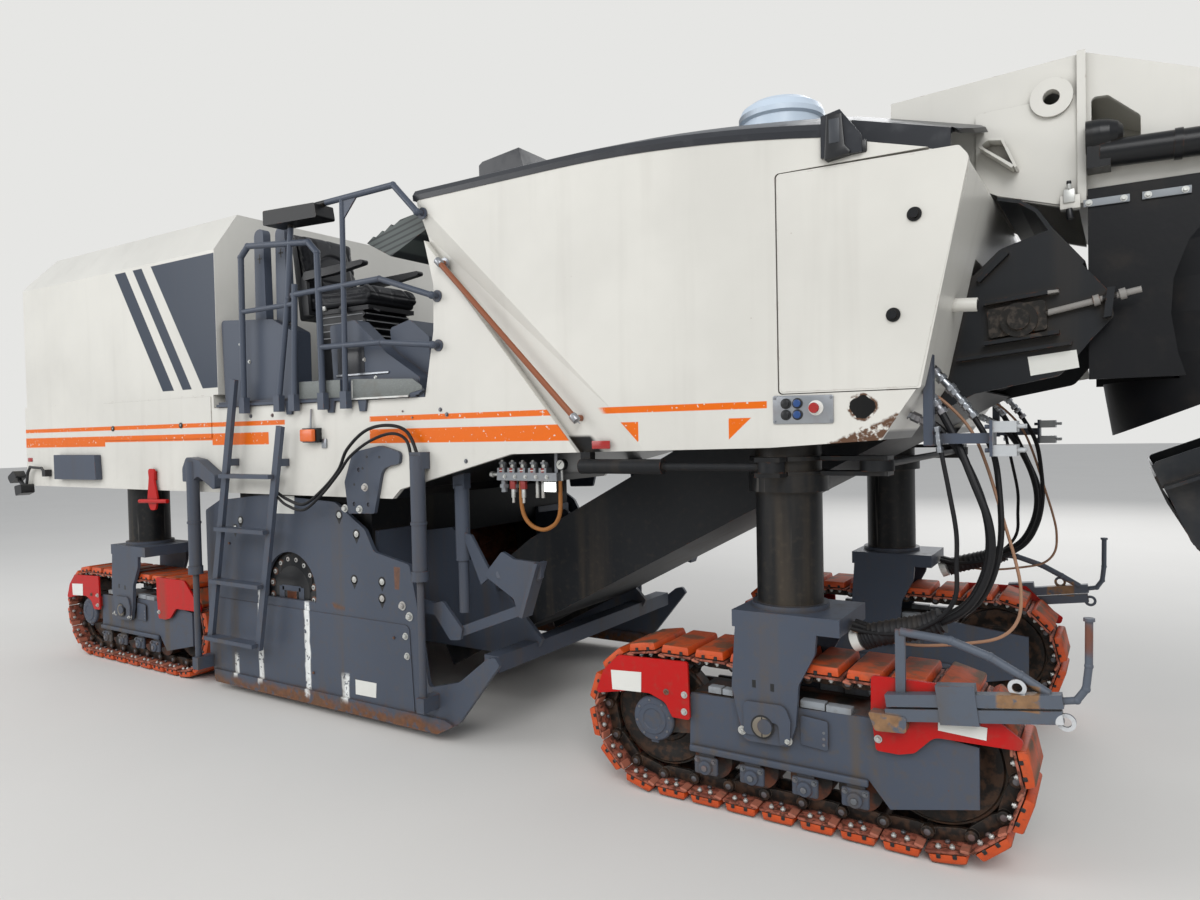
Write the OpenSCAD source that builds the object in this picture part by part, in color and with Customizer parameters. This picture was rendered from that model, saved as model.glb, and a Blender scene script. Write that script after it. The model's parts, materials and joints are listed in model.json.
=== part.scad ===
// Cold planer milling machine on four tracks, with its discharge conveyor raised in front.
// Drawn from the front column axis: X forward, Y to the left, Z up from the ground, in millimetres.
// Every piece is then moved by x_shift, so that the origin lies under the middle of the whole machine.

/* [Body] */
// width over the side skins
body_w = 2500; // [2440:10:2560]
// front columns back to the body's rear end
rear_reach = 7230; // [7150:10:7400]
// front columns forward to the tank's upper front corner
front_reach = 860; // [820:10:900]
// height of the tank's upper side edge behind
edge_z = 3275; // [3260:5:3290]
// height of that edge where its curve ends
nose_z = 3147; // [3130:1:3160]
// height of the tank's upper front corner
front_corner_z = 2970; // [2950:5:2985]
// front columns back to the tank's rear face
tank_rear = 2170; // [2120:10:2220]
// underside of the rear body
belly_z = 1480; // [1480:5:1520]
// seam between the rear body and the engine hood
seam_z = 2200; // [2150:10:2250]
// top of the platform floor's support
floor_z = 2100; // [2060:10:2130]
// skin thickness of the rear body
skin = 50; // [40:1:60]

/* [Hood] */
// front columns back to the hood's front face
hood_front = 4240; // [4220:10:4260]
// front columns back to the hood's rear face
hood_rear = 7190; // [7100:10:7220]
// height of the hood's upper side edge
shoulder_z = 3260; // [3150:10:3350]
// height of the hood's roof
roof_z = 3550; // [3450:10:3650]
// width of the sloping strip between side and roof
roof_edge = 200; // [150:10:260]
// sheet and frame thickness of the hood
hood_wall = 40; // [25:1:50]

/* [Legs and tracks] */
// rear columns behind the front columns
wheelbase = 5600; // [5580:10:5660]
// track middle inward from the side skins
track_inset = 220; // [216:2:230]
// radius of a lifting column
column_r = 157.5; // [140:0.5:165]
// gap round a column in its guide
column_gap = 7.5; // [6:0.5:10]
// length of a track
track_l = 2145; // [2060:5:2160]
// height of a track
track_h = 790; // [770:5:800]
// width of a track pad
pad_w = 370; // [340:2:376]
// thickness of a track pad
pad_h = 45; // [35:1:50]
// thickness of a track shoe
shoe_t = 14; // [10:1:18]
// depth of the chain under the shoes
chain_h = 56; // [45:1:62]
// width of the chain
chain_w = 150; // [120:2:170]
// number of shoes on a track
shoes = 26; // [26:1:26]
// thickness of a leg's fork plates
fork_t = 25; // [18:1:25]

/* [Drum] */
// drum axis ahead of the rear columns
drum_ahead = 2090; // [2070:5:2110]
// drum axis above the ground
drum_z = 900; // [880:5:902]
// radius over the cutting tools
drum_r = 548; // [500:2:552]
// ends of the milling drum inward from the side skins
drum_inset = 155; // [153:1:190]
// gap round the drum in its housing
drum_gap = 15; // [10:1:18]
// radius of the drum's bearing stubs
stub_r = 150; // [120:2:180]

/* [Side plates and scraper] */
// thickness of a side plate
side_t = 28; // [20:1:30]
// outer face of a side plate inward from the side skins
side_inset = 36; // [35:1:42]
// travel of the side plates and the scraper
lift_travel = 300; // [250:10:310]
// radius of a lift cylinder's barrel
barrel_r = 45; // [40:1:50]
// radius of a lift cylinder's rod
rod_r = 22; // [16:1:24]
// gap between a rod and its barrel
rod_gap = 5; // [5:0.5:8]

/* [Feeding conveyor] */
// tail drum axis ahead of the milling drum's axis
feed_ahead = 960; // [950:5:980]
// tail drum axis above the ground
feed_tail_z = 500; // [490:5:520]
// head drum axis ahead of the front columns
feed_head_x = 970; // [950:5:975]
// head drum axis above the ground
feed_head_z = 2340; // [2330:5:2350]
// half of the width over the side plates
feed_half = 620; // [610:1:622]
// radius of the feeding belt's drums
feed_drum_r = 140; // [120:2:150]
// thickness of the belts
belt_t = 15; // [10:1:18]

/* [Gantry and slewing] */
// slewing axis ahead of the front columns
slew_x = 1900; // [1880:5:1940]
// half of the gantry's width over its plates
gantry_half = 500; // [480:5:510]
// plate thickness of the gantry
gantry_t = 30; // [20:1:36]
// height of the gantry's base plate
base_z = 2885; // [2870:5:2895]
// radius of the slewing pin
slew_pin_r = 60; // [50:1:70]
// radius of the rubber shroud
shroud_r = 540; // [520:5:545]
// bore radius of the lifting eyes
eye_r = 35; // [30:1:50]

/* [Discharge conveyor] */
// rise of the discharge conveyor at rest, degrees
boom_rise = 22; // [21:0.5:23]
// luffing pivot above the ground
luff_z = 1720; // [1700:5:1740]
// luffing pivot to the fold, along the conveyor
fold_at = 4400; // [4200:10:4600]
// luffing pivot to the head drum, along the conveyor
boom_len = 6700; // [6500:10:6900]
// half of the frame's width over its side plates
boom_half = 460; // [440:5:470]
// radius of the discharge belt's drums
boom_drum_r = 110; // [100:2:115]
// radius of the rounded head end
boom_end_r = 180; // [170:2:200]

/* [Hidden] */
$fn = 48;
eps = 0.3;
run_gap = 0.4;
half_w = body_w / 2;
track_y = half_w - track_inset;
side_y = half_w - side_inset;
drum_half = half_w - drum_inset;
drum_x = -wheelbase + drum_ahead;
feed_tail_x = -drum_x - feed_ahead;
x_rear = -rear_reach;
x_front = slew_x + boom_len * cos(boom_rise) + boom_end_r;
x_shift = -(x_rear + x_front) / 2;
loop_r = track_h / 2;
loop_c = (track_l - track_h) / 2;
base_r = loop_r - pad_h;
shoe_r = base_r - shoe_t;
chain_r = shoe_r - chain_h;
pitch = (4 * loop_c + 2 * PI * base_r) / shoes;
pad_out = track_y + pad_w / 2;
pad_in = track_y - pad_w / 2;
fork_out = pad_out + 7 + fork_t;
fork_in = pad_in - 7 - fork_t;
front_top_z = 2010;
rear_top_z = 1700;
feed_dx = feed_head_x + feed_tail_x;
feed_dz = feed_head_z - feed_tail_z;
feed_len = norm([feed_dx, feed_dz]);
feed_rise = atan2(feed_dz, feed_dx);
feed_slope = feed_dz / feed_dx;
tunnel_half = feed_half + 20;
cavity_r = drum_r + drum_gap;
wall_in = drum_half + 13;
wall_out = side_y - side_t - 6 - 55;
right = -1;
left = 1;

// helpers

// plate drawn in X and Z, from y0 to y0 + t
module slab(pts, y0, t) translate([0, y0 + t, 0]) rotate([90, 0, 0]) linear_extrude(t) polygon(pts);

// bar whose section is drawn in Y and Z, from x0 to x0 + l
module along_x(pts, x0, l) translate([x0, 0, 0]) rotate([90, 0, 90]) linear_extrude(l) polygon(pts);

// round bar along Y at [x, z], from y0 to y0 + t
module bar_y(at, r, y0, t) translate([at[0], y0 + t, at[1]]) rotate([90, 0, 0]) cylinder(r = r, h = t);

// box from one corner to the other
module block(a, b) translate(a) cube(b - a);

// round bar from point a to point b
module rod(a, b, r) {
  v = b - a;
  translate(a) rotate([0, acos(v[2] / norm(v)), atan2(v[1], v[0])]) cylinder(r = r, h = norm(v));
}

// flat bar from point a to point b, w in the X-Z plane and h along Y
module beam(a, b, w, h) {
  v = b - a;
  translate(a) rotate([0, acos(v[2] / norm(v)), atan2(v[1], v[0])])
    translate([-w / 2, -h / 2, 0]) cube([w, h, norm(v)]);
}

// the same piece on both sides of the machine
module pair() {
  children();
  mirror([0, 1, 0]) children();
}

// a piece drawn for the right side, put on the stated side
module on_side(side) {
  if (side == left) mirror([0, 1, 0]) children();
  else children();
}

module placed() translate([x_shift, 0, 0]) children();

function unit(v) = v / norm(v);

// arc of radius r that rounds the corner p between its neighbours
function corner(before, p, after, r, steps) =
  let (
    u = unit(before - p),
    v = unit(after - p),
    half = acos(u * v) / 2,
    c = p + unit(u + v) * r / sin(half),
    a = p + u * r / tan(half) - c,
    b = p + v * r / tan(half) - c,
    from = atan2(a[1], a[0]),
    sweep = (atan2(b[1], b[0]) - from + 540) % 360 - 180
  )
  [for (k = [0 : steps]) c + r * [cos(from + sweep * k / steps), sin(from + sweep * k / steps)]];

function flat(p) = [p[0], p[1]];

// outline with rounded corners, from points as [x, z, radius]
function rounded(pts) = [for (i = [0 : len(pts) - 1]) each
  let (n = len(pts), p = pts[i])
  p[2] > 0 ? corner(flat(pts[(i + n - 1) % n]), flat(p), flat(pts[(i + 1) % n]), p[2], 5) : [flat(p)]];

// outline given from the drum's axis, moved to its place along the machine
function at_drum(pts) = [for (p = pts) len(p) > 2 ? [drum_x + p[0], p[1], p[2]] : [drum_x + p[0], p[1]]];

// round tube at y through points in X and Z, with ball joints
module wire(pts, y, r) {
  for (i = [0 : len(pts) - 2]) rod([pts[i][0], y, pts[i][1]], [pts[i + 1][0], y, pts[i + 1][1]], r);
  for (i = [1 : len(pts) - 2]) translate([pts[i][0], y, pts[i][1]]) sphere(r = r + 2);
}

// body

// side outline of the rear body
rear_profile = [
  [x_rear, belly_z], [-2470, belly_z], [-2400, belly_z + 60], [-tank_rear, belly_z + 117],
  [-tank_rear, floor_z], [-hood_front - 60, floor_z], [-hood_front - 60, seam_z], [x_rear, seam_z]
];

// tube round a column
module column_guide(x, z0, z1) pair() translate([x, -track_y, z0])
  cylinder(r = column_r + column_gap + 40, h = z1 - z0);
// bore for a column, with its bearing ring in the lower part
module column_hole(x, z0, z_ring, z1) pair() {
  translate([x, -track_y, z0]) cylinder(r = column_r + run_gap, h = z1 - z0);
  translate([x, -track_y, z_ring]) cylinder(r = column_r + column_gap, h = z1 - z_ring);
}

module lower_body() color([0.89, 0.87, 0.82]) placed() difference() {
  union() {
    difference() {
      slab(rear_profile, -half_w, body_w);
      // engine bay under the hood
      block([x_rear + skin, -half_w + skin, belly_z + 60],
        [-hood_front - 120, half_w - skin, seam_z + 100]);
    }
    column_guide(-wheelbase, belly_z, rear_top_z + 40);
    // flap below the hood's seam
    pair() block([-5840, -half_w - 6, 1880], [-hood_front - 90, -half_w, seam_z - 12]);
  }
  column_hole(-wheelbase, belly_z - 10, belly_z + 60, rear_top_z + 10);
  // slots the side plates rise into
  pair() block([drum_x - 1002, -side_y - 8, belly_z - 10],
    [drum_x + 870, -side_y + side_t + 8, belly_z + lift_travel + 20]);
}

module engine_block() color([0.35, 0.36, 0.37]) placed() {
  block([-6900, -560, belly_z + 60], [-4760, 560, 2750]);
}

hood_section = [
  [-half_w, seam_z], [half_w, seam_z], [half_w, shoulder_z],
  [half_w - roof_edge, roof_z], [-half_w + roof_edge, roof_z], [-half_w, shoulder_z]
];
hood_inner = [
  [-half_w + hood_wall, seam_z - 10], [half_w - hood_wall, seam_z - 10],
    [half_w - hood_wall, shoulder_z - 15],
  [half_w - roof_edge - 15, roof_z - hood_wall], [-half_w + roof_edge + 15, roof_z - hood_wall],
  [-half_w + hood_wall, shoulder_z - 15]
];

module engine_hood() color([0.89, 0.87, 0.82]) placed() difference() {
  along_x(hood_section, -hood_rear, hood_rear - hood_front);
  along_x(hood_inner, -hood_rear + hood_wall, hood_rear - hood_front - 2 * hood_wall);
  // roof falls off to the rear
  slab([[-hood_rear - 10, roof_z - 240], [-hood_rear + 230, roof_z + 2], [-hood_rear - 10, roof_z + 2]],
    -half_w - 10, body_w + 20);
  // air intakes in the rear face
  for (z = [seam_z + 250 : 90 : seam_z + 800]) block([-hood_rear - 1, -800, z],
    [-hood_rear + 18, 800, z + 45]);
}

// upper side edge of the tank: level behind, then falling in a curve, then straight
fall_from = -1200;
nose_x = 250;
function tank_top(x) =
  x < fall_from ? edge_z :
  x < nose_x ? edge_z - (edge_z - nose_z) * pow((x - fall_from) / (nose_x - fall_from), 2) :
  nose_z - (x - nose_x) * (nose_z - front_corner_z) / (front_reach - nose_x);
curve_x = [for (x = [fall_from : (nose_x - fall_from) / 10 : nose_x]) x];

// height of the tank's underside behind the columns
function tank_bottom(x) = 1780 + (x + 10) * 25 / 1520;

// side outline of the tank and front body
chin = [490, 1810];
nose = [650, 2040];
tank_profile = rounded(concat(
  [[-tank_rear, floor_z, 0], [-2090, 2490, 60], [-2080, 2760, 80], [-2210, edge_z, 25]],
  [for (x = curve_x) [x, tank_top(x), 0]],
  [[front_reach, front_corner_z, 60], [nose[0], nose[1], 0], [chin[0], chin[1], 0],
    [-10, 1780, 0], [-1530, 1755, 0], [-tank_rear, belly_z + 117, 0]]
));

// strip with the grab rail: it sinks from the skin at its upper edge to its depth at the lower one
band_upper = [[-2257, 3330], [-633, 1720]];
band_lower = [[-2233, 3131], [-1047, 1720]];
band_depth = 50;
band_over = 10;
module band_cut() {
  rise = band_over / band_depth;
  top = [for (i = [0, 1]) band_upper[i] + (band_upper[i] - band_lower[i]) * rise];
  polyhedron(
    [for (set = [[top, -band_over], [band_lower, -band_over],
      [band_lower, band_depth]]) for (p = set[0]) [p[0], -half_w + set[1], p[1]]],
    [[0, 1, 3, 2], [2, 3, 5, 4], [1, 0, 4], [1, 4, 5], [0, 2, 4], [3, 1, 5]]
  );
}
door_t = 25;
door_seat = rounded([[34, 3026, 20], [34, 2022, 20], [nose[0] + 50, 2022, 0],
  [front_reach + 40, 3000, 0], [820, 3016, 0]]);

module tank_body() color([0.89, 0.87, 0.82]) placed() difference() {
  slab(tank_profile, -half_w, body_w);
  column_hole(0, 1700, 1850, front_top_z + 10);
  pair() {
    band_cut();
    // seat and compartment of the service door
    slab(door_seat, -half_w - 10, 10 + door_t);
    slab(rounded([[100, 2940, 30], [100, 2110, 30], [560, 2110, 30],
      [720, 2880, 30]]), -half_w + 10, 260);
  }
  // tunnel of the feeding conveyor
  slab([[-1700, feed_z(-1700) + 400], [1100, feed_z(1100) + 400], [1100, 1100], [-1700, 1100]],
    -tunnel_half, 2 * tunnel_half);
}

// height of the feeding belt's middle line at x
function feed_z(x) = feed_tail_z + (x + feed_tail_x) * feed_slope;

module service_door(side) color([0.9, 0.88, 0.83]) placed() on_side(side) {
  slab(rounded([[44, 3015, 16], [44, 2034, 16], [645, 2034, 10], [front_reach - 6, 2958, 45],
    [812, 2996, 20]]), -half_w, door_t);
  for (p = [[640, 2750], [550, 2340]]) {
    bar_y(p, 30, -half_w - 6, 6);
    bar_y(p, 18, -half_w - 22, 22);
  }
}

// half of the upper cover's section: place across, height over the tank's edge
rim = [[half_w + 4, 0], [half_w + 8, 30], [half_w - 15, 62], [half_w - 70, 85], [900, 190], [600, 290],
  [250, 350]];
lip = [[950, 0], [950, 171], [900, 190], [600, 290], [250, 350]];
function across(half) = concat(half, [for (i = [len(half) - 1 : -1 : 0]) [-half[i][0], half[i][1]]]);

// the section carried along the tank's edge through places xs
module swept(xs, section) {
  n = len(xs);
  m = len(section);
  polyhedron(
    [for (x = xs) for (p = section) [x, p[0], tank_top(x) + eps + p[1]]],
    concat(
      [[for (j = [0 : m - 1]) j]],
      [[for (j = [m - 1 : -1 : 0]) (n - 1) * m + j]],
      [for (i = [0 : n - 2]) for (j = [0 : m - 1]) let (k = (j + 1) % m) [i * m + j, (i + 1)
        * m + j, (i + 1) * m + k, i * m + k]]
    )
  );
}

// upper cover over the tank, with its dark rim
cover_end = 855;
module top_cowl() color([0.13, 0.14, 0.16]) placed() {
  swept(concat([-2224], curve_x, [310]), across(rim));
  // thin front end, broken off along its edge, and open round the gantry
  difference() {
    swept([nose_x + 40, cover_end], across(lip));
    swept([nose_x + 90, cover_end + 10], across([for (p = lip) [p[0] - 15, p[1] < 1 ? -5 : p[1] - 22]]));
    block([370, -gantry_half - 16, 2900], [cover_end + 5, gantry_half + 16, 3700]);
    slab([[733, 2900], [735, 3190], [767, 3160], [819, 3169], [850, 3215], [812, 3270], [826, 3305],
      [790, 3345], [900, 3400], [900, 2900]], -half_w, body_w);
  }
  // exhaust dome
  translate([-375, 0, 0]) rotate_extrude()
    polygon([[0, 3400], [236, 3400], [236, 3700], [256, 3712], [256, 3742], [238, 3782], [190, 3815],
      [110, 3834], [0, 3838]]);
  // raised hatch at the rear
  slab([[-2300, 3440], [-2300, 3680], [-2270, 3700], [-1960, 3735], [-1925, 3600]], -550, 1100);
  // latch post on the side
  pair() slab([[255, 3049], [257, 3229], [341, 3245], [430, 3120], [434, 3045]], -half_w - 22, 20);
}

// operator's platform

module platform_deck() color([0.36, 0.38, 0.41]) placed() {
  block([-hood_front + 2, -half_w, floor_z], [-tank_rear - 6, half_w, floor_z + 40]);
  pair() {
    // step boxes along the edge
    slab([[-2785, floor_z + 20], [-2785, 2240], [-2250, 2215], [-tank_rear, 2140],
      [-tank_rear - 40, floor_z + 15]], -half_w - 24, 24);
    slab([[-3295, floor_z + 25], [-3295, 2245], [-2890, 2240], [-2890, floor_z + 22]], -half_w - 24, 24);
    block([-hood_front + 2, -half_w - 20, floor_z + 5], [-tank_rear - 60, -half_w, floor_z + 24]);
    // brackets under the edge
    for (x = [-3420, -3000, -2700]) slab([[x - 40, floor_z + 5], [x + 40, floor_z + 5],
      [x + 25, floor_z - 70], [x - 25, floor_z - 70]], -half_w - 18, 18);
  }
}

// rear edge of the tank above its bend
function tank_rear_x(z) = -2080 - (z - 2760) * 130 / (edge_z - 2760);

module consoles() color([0.25, 0.27, 0.31]) placed() {
  deck = floor_z + 40;
  pair() {
    // locker behind the seat, with two upright plates
    slab(rounded([[-hood_front + 40, deck, 0], [-hood_front + 20, 2740, 30], [-3640, 2700, 30],
      [-3420, 2600, 30], [-3420, deck, 0]]), -half_w + 30, 150);
    for (p = [[-3830, 40], [-3650, 80]]) slab(rounded([[p[0], 2680, 0], [p[0] + 10, 3330, 50],
      [p[0] + 110, 3350, 40], [p[0] + 120, 2680, 0]]), -half_w + p[1], 60);
    // control stand before the seat
    slab(rounded([[-3010, deck, 0], [-3040, 2600, 20], [-2800, 2620, 30], [-2520, 2390, 60],
      [-2240, 2225, 20], [-2240, deck, 0]]), -half_w + 30, 110);
    slab(rounded([[-2560, 2200, 0], [-2600, 2560, 30], [-2420, 2600, 30], [-2260, 2480, 30],
      [-2260, 2200, 0]]), -half_w + 140, 220);
    // folded roller awning on the tank's rear edge
    slab([for (p = [[-2700, 3099], [-2640, 3135], [-2630, 3120], [-2560, 3160], [-2550, 3145],
      [-2480, 3188], [-2470, 3172], [-2400, 3205]]) p,
      [tank_rear_x(3230) - eps, 3230], [tank_rear_x(3120) - eps, 3120], [-2491, 2991]],
        -half_w + 60, 380);
    // control box at the rear
    slab(rounded([[-6605, 1550, 8], [-6605, 1763, 8], [-5917, 1761, 8],
      [-5903, 1552, 8]]), -half_w - 55, 55);
  }
  // instrument desk before the tank
  slab([[-2340, deck], [-2420, 2760], [-2250, 2900], [-2230, 2760], [-2240, deck]], -560, 1120);
}

seat_y = half_w - 430;
seat_folds = 5;
module seat_base(y) {
  deck = floor_z + 40;
  block([-3420, y - 190, deck], [-2930, y + 190, 2480]);
  // bellows
  translate([0, y + 200, 0]) rotate([90, 0, 0]) linear_extrude(400) polygon(concat(
    [for (k = [0 : 2 * seat_folds]) [-3390 - (k % 2) * 30, 2480 + k * 240 / (2 * seat_folds)]],
    [for (k = [2 * seat_folds : -1 : 0]) [-2950 + (k % 2) * 30, 2480 + k * 240 / (2 * seat_folds)]]
  ));
  block([-3440, y - 210, 2720], [-2880, y + 210, 2750]);
  // shell of the backrest
  slab(rounded([[-3520, 2750, 0], [-3640, 3330, 20], [-3680, 3320, 20], [-3600, 2700, 20],
    [-3440, 2720, 0], [-3440, 2750, 0]]), y - 190, 380);
  // armrests on their posts
  for (side = [-1, 1]) translate([0, side * 254, 0]) {
    slab(rounded([[-3460, 2960, 20], [-3120, 2975, 10], [-2850, 3005, 15], [-2850, 3035, 15],
      [-3440, 3020, 20]]), y - 26, 52);
    slab([[-3470, 2730], [-3500, 2990], [-3430, 2990], [-3410, 2730]], y - 12, 24);
    block([-3470, y - (side > 0 ? 70 : 12), 2722], [-3410, y + (side > 0 ? 12 : 70), 2750]);
  }
}

module seat_frames() color([0.12, 0.12, 0.13]) placed() for (y = [-seat_y, seat_y]) seat_base(y);

module seat_cushions() color([0.1, 0.1, 0.11]) placed() for (y = [-seat_y, seat_y]) {
  slab(rounded([[-3390, 2750.5, 0], [-2880, 2750.5, 20], [-2825, 2820, 35], [-2870, 2895, 45],
    [-3390, 2880, 0]]), y - 235, 470);
  slab(rounded([[-3400, 2760, 20], [-3391, 2890, 0], [-3440, 3080, 60], [-3500, 3330, 45],
    [-3640, 3331, 20], [-3522, 2762, 20]]), y - 215, 430);
}

rail_r = 21;
module handrails() color([0.3, 0.33, 0.37]) placed() pair() {
  y = -half_w - 50;
  union() {
    // loop round the rear of the platform, then posts along its edge
    wire([[-3865, 2140], [-3848, 3140], [-3765, 3207], [-3130, 3148], [-3048, 3070], [-3031, 2140]],
      y, rail_r);
    wire([[-3300, 3285], [-3352, 2806], [-3482, 2110]], y, rail_r - 1.5);
    wire([[-3279, 2890], [-3320, 2050]], y, rail_r - 1);
    wire([[-2795, 3376], [-2814, 2050]], y, rail_r - 3.5);
    // top rail down to the tank's corner, middle, lower and shelf rails
    wire([[-3039, 3373], [-2340, 3381], [-2150, 3190]], y, rail_r - 2);
    wire([[-3310, 2822], [-2480, 2835], [-2050, 2690]], y, rail_r - 3);
    wire([[-3031, 2455], [-2480, 2446], [-2050, 2400]], y, rail_r - 3);
    wire([[-3852, 2760], [-3290, 2762]], y, rail_r - 4);
  }
  // flat box on the rear posts
  slab(rounded([[-3482, 3290, 12], [-3482, 3388, 12], [-2963, 3362, 12],
    [-2945, 3268, 12]]), -half_w - 130, 150);
  // gusset under the top rail
  slab([[-2795, 3373], [-2650, 3373], [-2797, 3230]], y - 5, 10);
  // ends on the body
  for (p = [[-2050, 2690], [-2050, 2400], [-2150, 3190]]) {
    translate([p[0], y, p[1]]) sphere(r = rail_r + 2);
    bar_y(p, rail_r - 5, y, -half_w - y);
    bar_y(p, rail_r + 14, -half_w - 8, 8);
  }
  // feet on the floor's edge
  for (x = [-3865, -3482, -3325.3, -3031, -2815]) block([x - 30, -half_w - 71, 2050],
    [x + 30, -half_w - 24, 2160]);
  for (x = [-3865, -3482]) block([x - 30, -half_w - 24, floor_z + 5],
    [x + 30, -half_w - 20, floor_z + 24]);
}

// middle of the ladder's rear rail at a height, and the ladder's width
function ladder_x(z) = -3920 - (2290 - z) * 0.2;
ladder_w = 560;
module ladders() color([0.3, 0.33, 0.37]) placed() pair() {
  y = -half_w - 82;
  // rails: offset along the ladder's width and height of the upper end
  for (r = [[0, 2290], [ladder_w, 1950]])
    beam([ladder_x(400) + r[0], y, 400], [ladder_x(r[1]) + r[0], y, r[1]], 55, 30);
  for (z = [430, 850, 1230, 1610]) block([ladder_x(z), y - 60, z - 14],
    [ladder_x(z) + ladder_w, y + 30, z + 14]);
  // brackets on the body's side
  for (dx = [0, ladder_w]) block([ladder_x(1700) + dx - 25, y - 10, 1680],
    [ladder_x(1700) + dx + 25, -half_w, 1730]);
}

// legs and tracks, drawn for the right side with the column at x = 0

fork_outline = rounded([
  [-200, 935, 0], [194, 935, 0], [186, 840, 60], [108, 690, 60], [92, 500, 30], [60, 396, 25],
    [-165, 390, 40], [-222, 640, 60]
]);
module fork_plate(y0) slab(fork_outline, y0, fork_t);
// steering: rod's ear outboard of the column, track rod's ear ahead of it
steer_arm = 232;
tie_arm = 420;
swing_pin = [-50, 480];
swing_pin_r = 45;
arm_z = 1645;

module leg(x, side, top_z, steered_arms) color([0.16, 0.17, 0.19]) placed() translate([x, 0, 0])
  on_side(side) {
  translate([0, -track_y, 1000]) cylinder(r = column_r, h = top_z - 1000);
  block([-215, -fork_out, 930], [300, -fork_in, 1010]);
  translate([0, -track_y, 1010]) cylinder(r = column_r + 25, h = 25);
  fork_plate(-fork_out);
  fork_plate(-fork_in - fork_t);
  bar_y(swing_pin, swing_pin_r, -fork_out, fork_out - fork_in);
  // keeper of the swing pin
  slab(rounded([[-158, 425, 25], [-158, 585, 30], [45, 590, 40], [72, 520, 20], [66, 410, 15],
    [20, 405, 5], [14, 500, 20], [-100, 505, 20], [-100, 430, 5]]), -fork_out - 14, 14);
  bar_y(swing_pin, swing_pin_r - 10, -fork_out - 26, 26);
  if (steered_arms) {
    translate([0, -track_y, arm_z - 75]) cylinder(r = column_r + 32, h = 80);
    // ears for the steering rod, outboard
    for (z = [arm_z, arm_z + 70]) {
      translate([0, -track_y, z]) cylinder(r = column_r + 28, h = 20);
      block([-60, -track_y - steer_arm - 55, z], [60, -track_y - 100, z + 20]);
      block([100, -track_y - 60, z], [tie_arm + 60, -track_y + 60, z + 20]);
    }
    translate([0, -track_y - steer_arm, arm_z]) cylinder(r = 12, h = 90);
    translate([tie_arm, -track_y, arm_z]) cylinder(r = 12, h = 90);
  }
}
module steer_rod(side) color([0.2, 0.21, 0.23]) placed() on_side(side) {
  y = -track_y - steer_arm;
  difference() {
    union() {
      translate([0, y, arm_z + 20 + eps]) cylinder(r = 62, h = 50 - 2 * eps);
      rod([-45, y, arm_z + 45], [-700, y, arm_z + 45], 18);
    }
    translate([0, y, arm_z + 20]) cylinder(r = 38, h = 50);
  }
}

module steer_barrels() color([0.2, 0.21, 0.23]) placed() pair() {
  y = -track_y - steer_arm;
  difference() {
    rod([-560, y, arm_z + 45], [-1050, y, arm_z + 45], 38);
    rod([-559, y, arm_z + 45], [-1020, y, arm_z + 45], 18 + run_gap);
    rod([-620, y, arm_z + 45], [-1020, y, arm_z + 45], 25);
  }
  slab([[-1060, arm_z + 5], [-1000, arm_z + 5], [-1000, tank_bottom(-1000)],
    [-1060, tank_bottom(-1060)]], -half_w, 50);
}

module tie_rod() color([0.2, 0.21, 0.23]) placed() {
  difference() {
    union() {
      pair() translate([tie_arm, -track_y, arm_z + 20 + eps]) cylinder(r = 76, h = 50 - 2 * eps);
      rod([tie_arm, -track_y + 60, arm_z + 45], [tie_arm, track_y - 60, arm_z + 45], 18);
    }
    pair() translate([tie_arm, -track_y, arm_z + 20]) cylinder(r = 54, h = 50);
  }
}

// point and heading after a length s along a racetrack loop of end radius r, centres c from the middle
function loop_at(s, c, r) =
  s < 2 * c ? [s - c, -r, 0] :
  s < 2 * c + PI * r ? let (a = (s - 2 * c) / r * 180 / PI) [c + r * sin(a), -r * cos(a), a] :
  s < 4 * c + PI * r ? [c - (s - 2 * c - PI * r), r, 180] :
  let (a = (s - 4 * c - PI * r) / r * 180 / PI) [-c - r * sin(a), r * cos(a), 180 + a];

// the four corners of shoe i: foot, tread, tread, foot
function shoe(i) =
  let (s = loop_c + (i + 0.5)
    * pitch, all = pitch * shoes, p = loop_at(s > all ? s - all : s, loop_c, base_r), a = p[2])
  [for (k = [[-0.47, 0], [-0.4, 1], [0.4, 1], [0.47, 0]])
    [p[0] + cos(a) * pitch * k[0] + sin(a) * pad_h * k[1],
      p[1] + sin(a) * pitch * k[0] - cos(a) * pad_h * k[1]]];

module racetrack(r) {
  for (s = [-1, 1]) translate([s * loop_c, 0]) circle(r = r);
  translate([-loop_c, -r]) square([2 * loop_c, 2 * r]);
}

module track(x, side) color([0.62, 0.3, 0.2]) placed() translate([x, 0, loop_r]) on_side(side) {
  translate([0, -pad_in, 0]) rotate([90, 0, 0]) linear_extrude(pad_w) difference() {
    polygon([for (i = [0 : shoes - 1]) each shoe(i)]);
    racetrack(shoe_r);
  }
  translate([0, -track_y + chain_w / 2, 0]) rotate([90, 0, 0]) linear_extrude(chain_w) difference() {
    racetrack(shoe_r + 1);
    racetrack(chain_r);
  }
}

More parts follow.
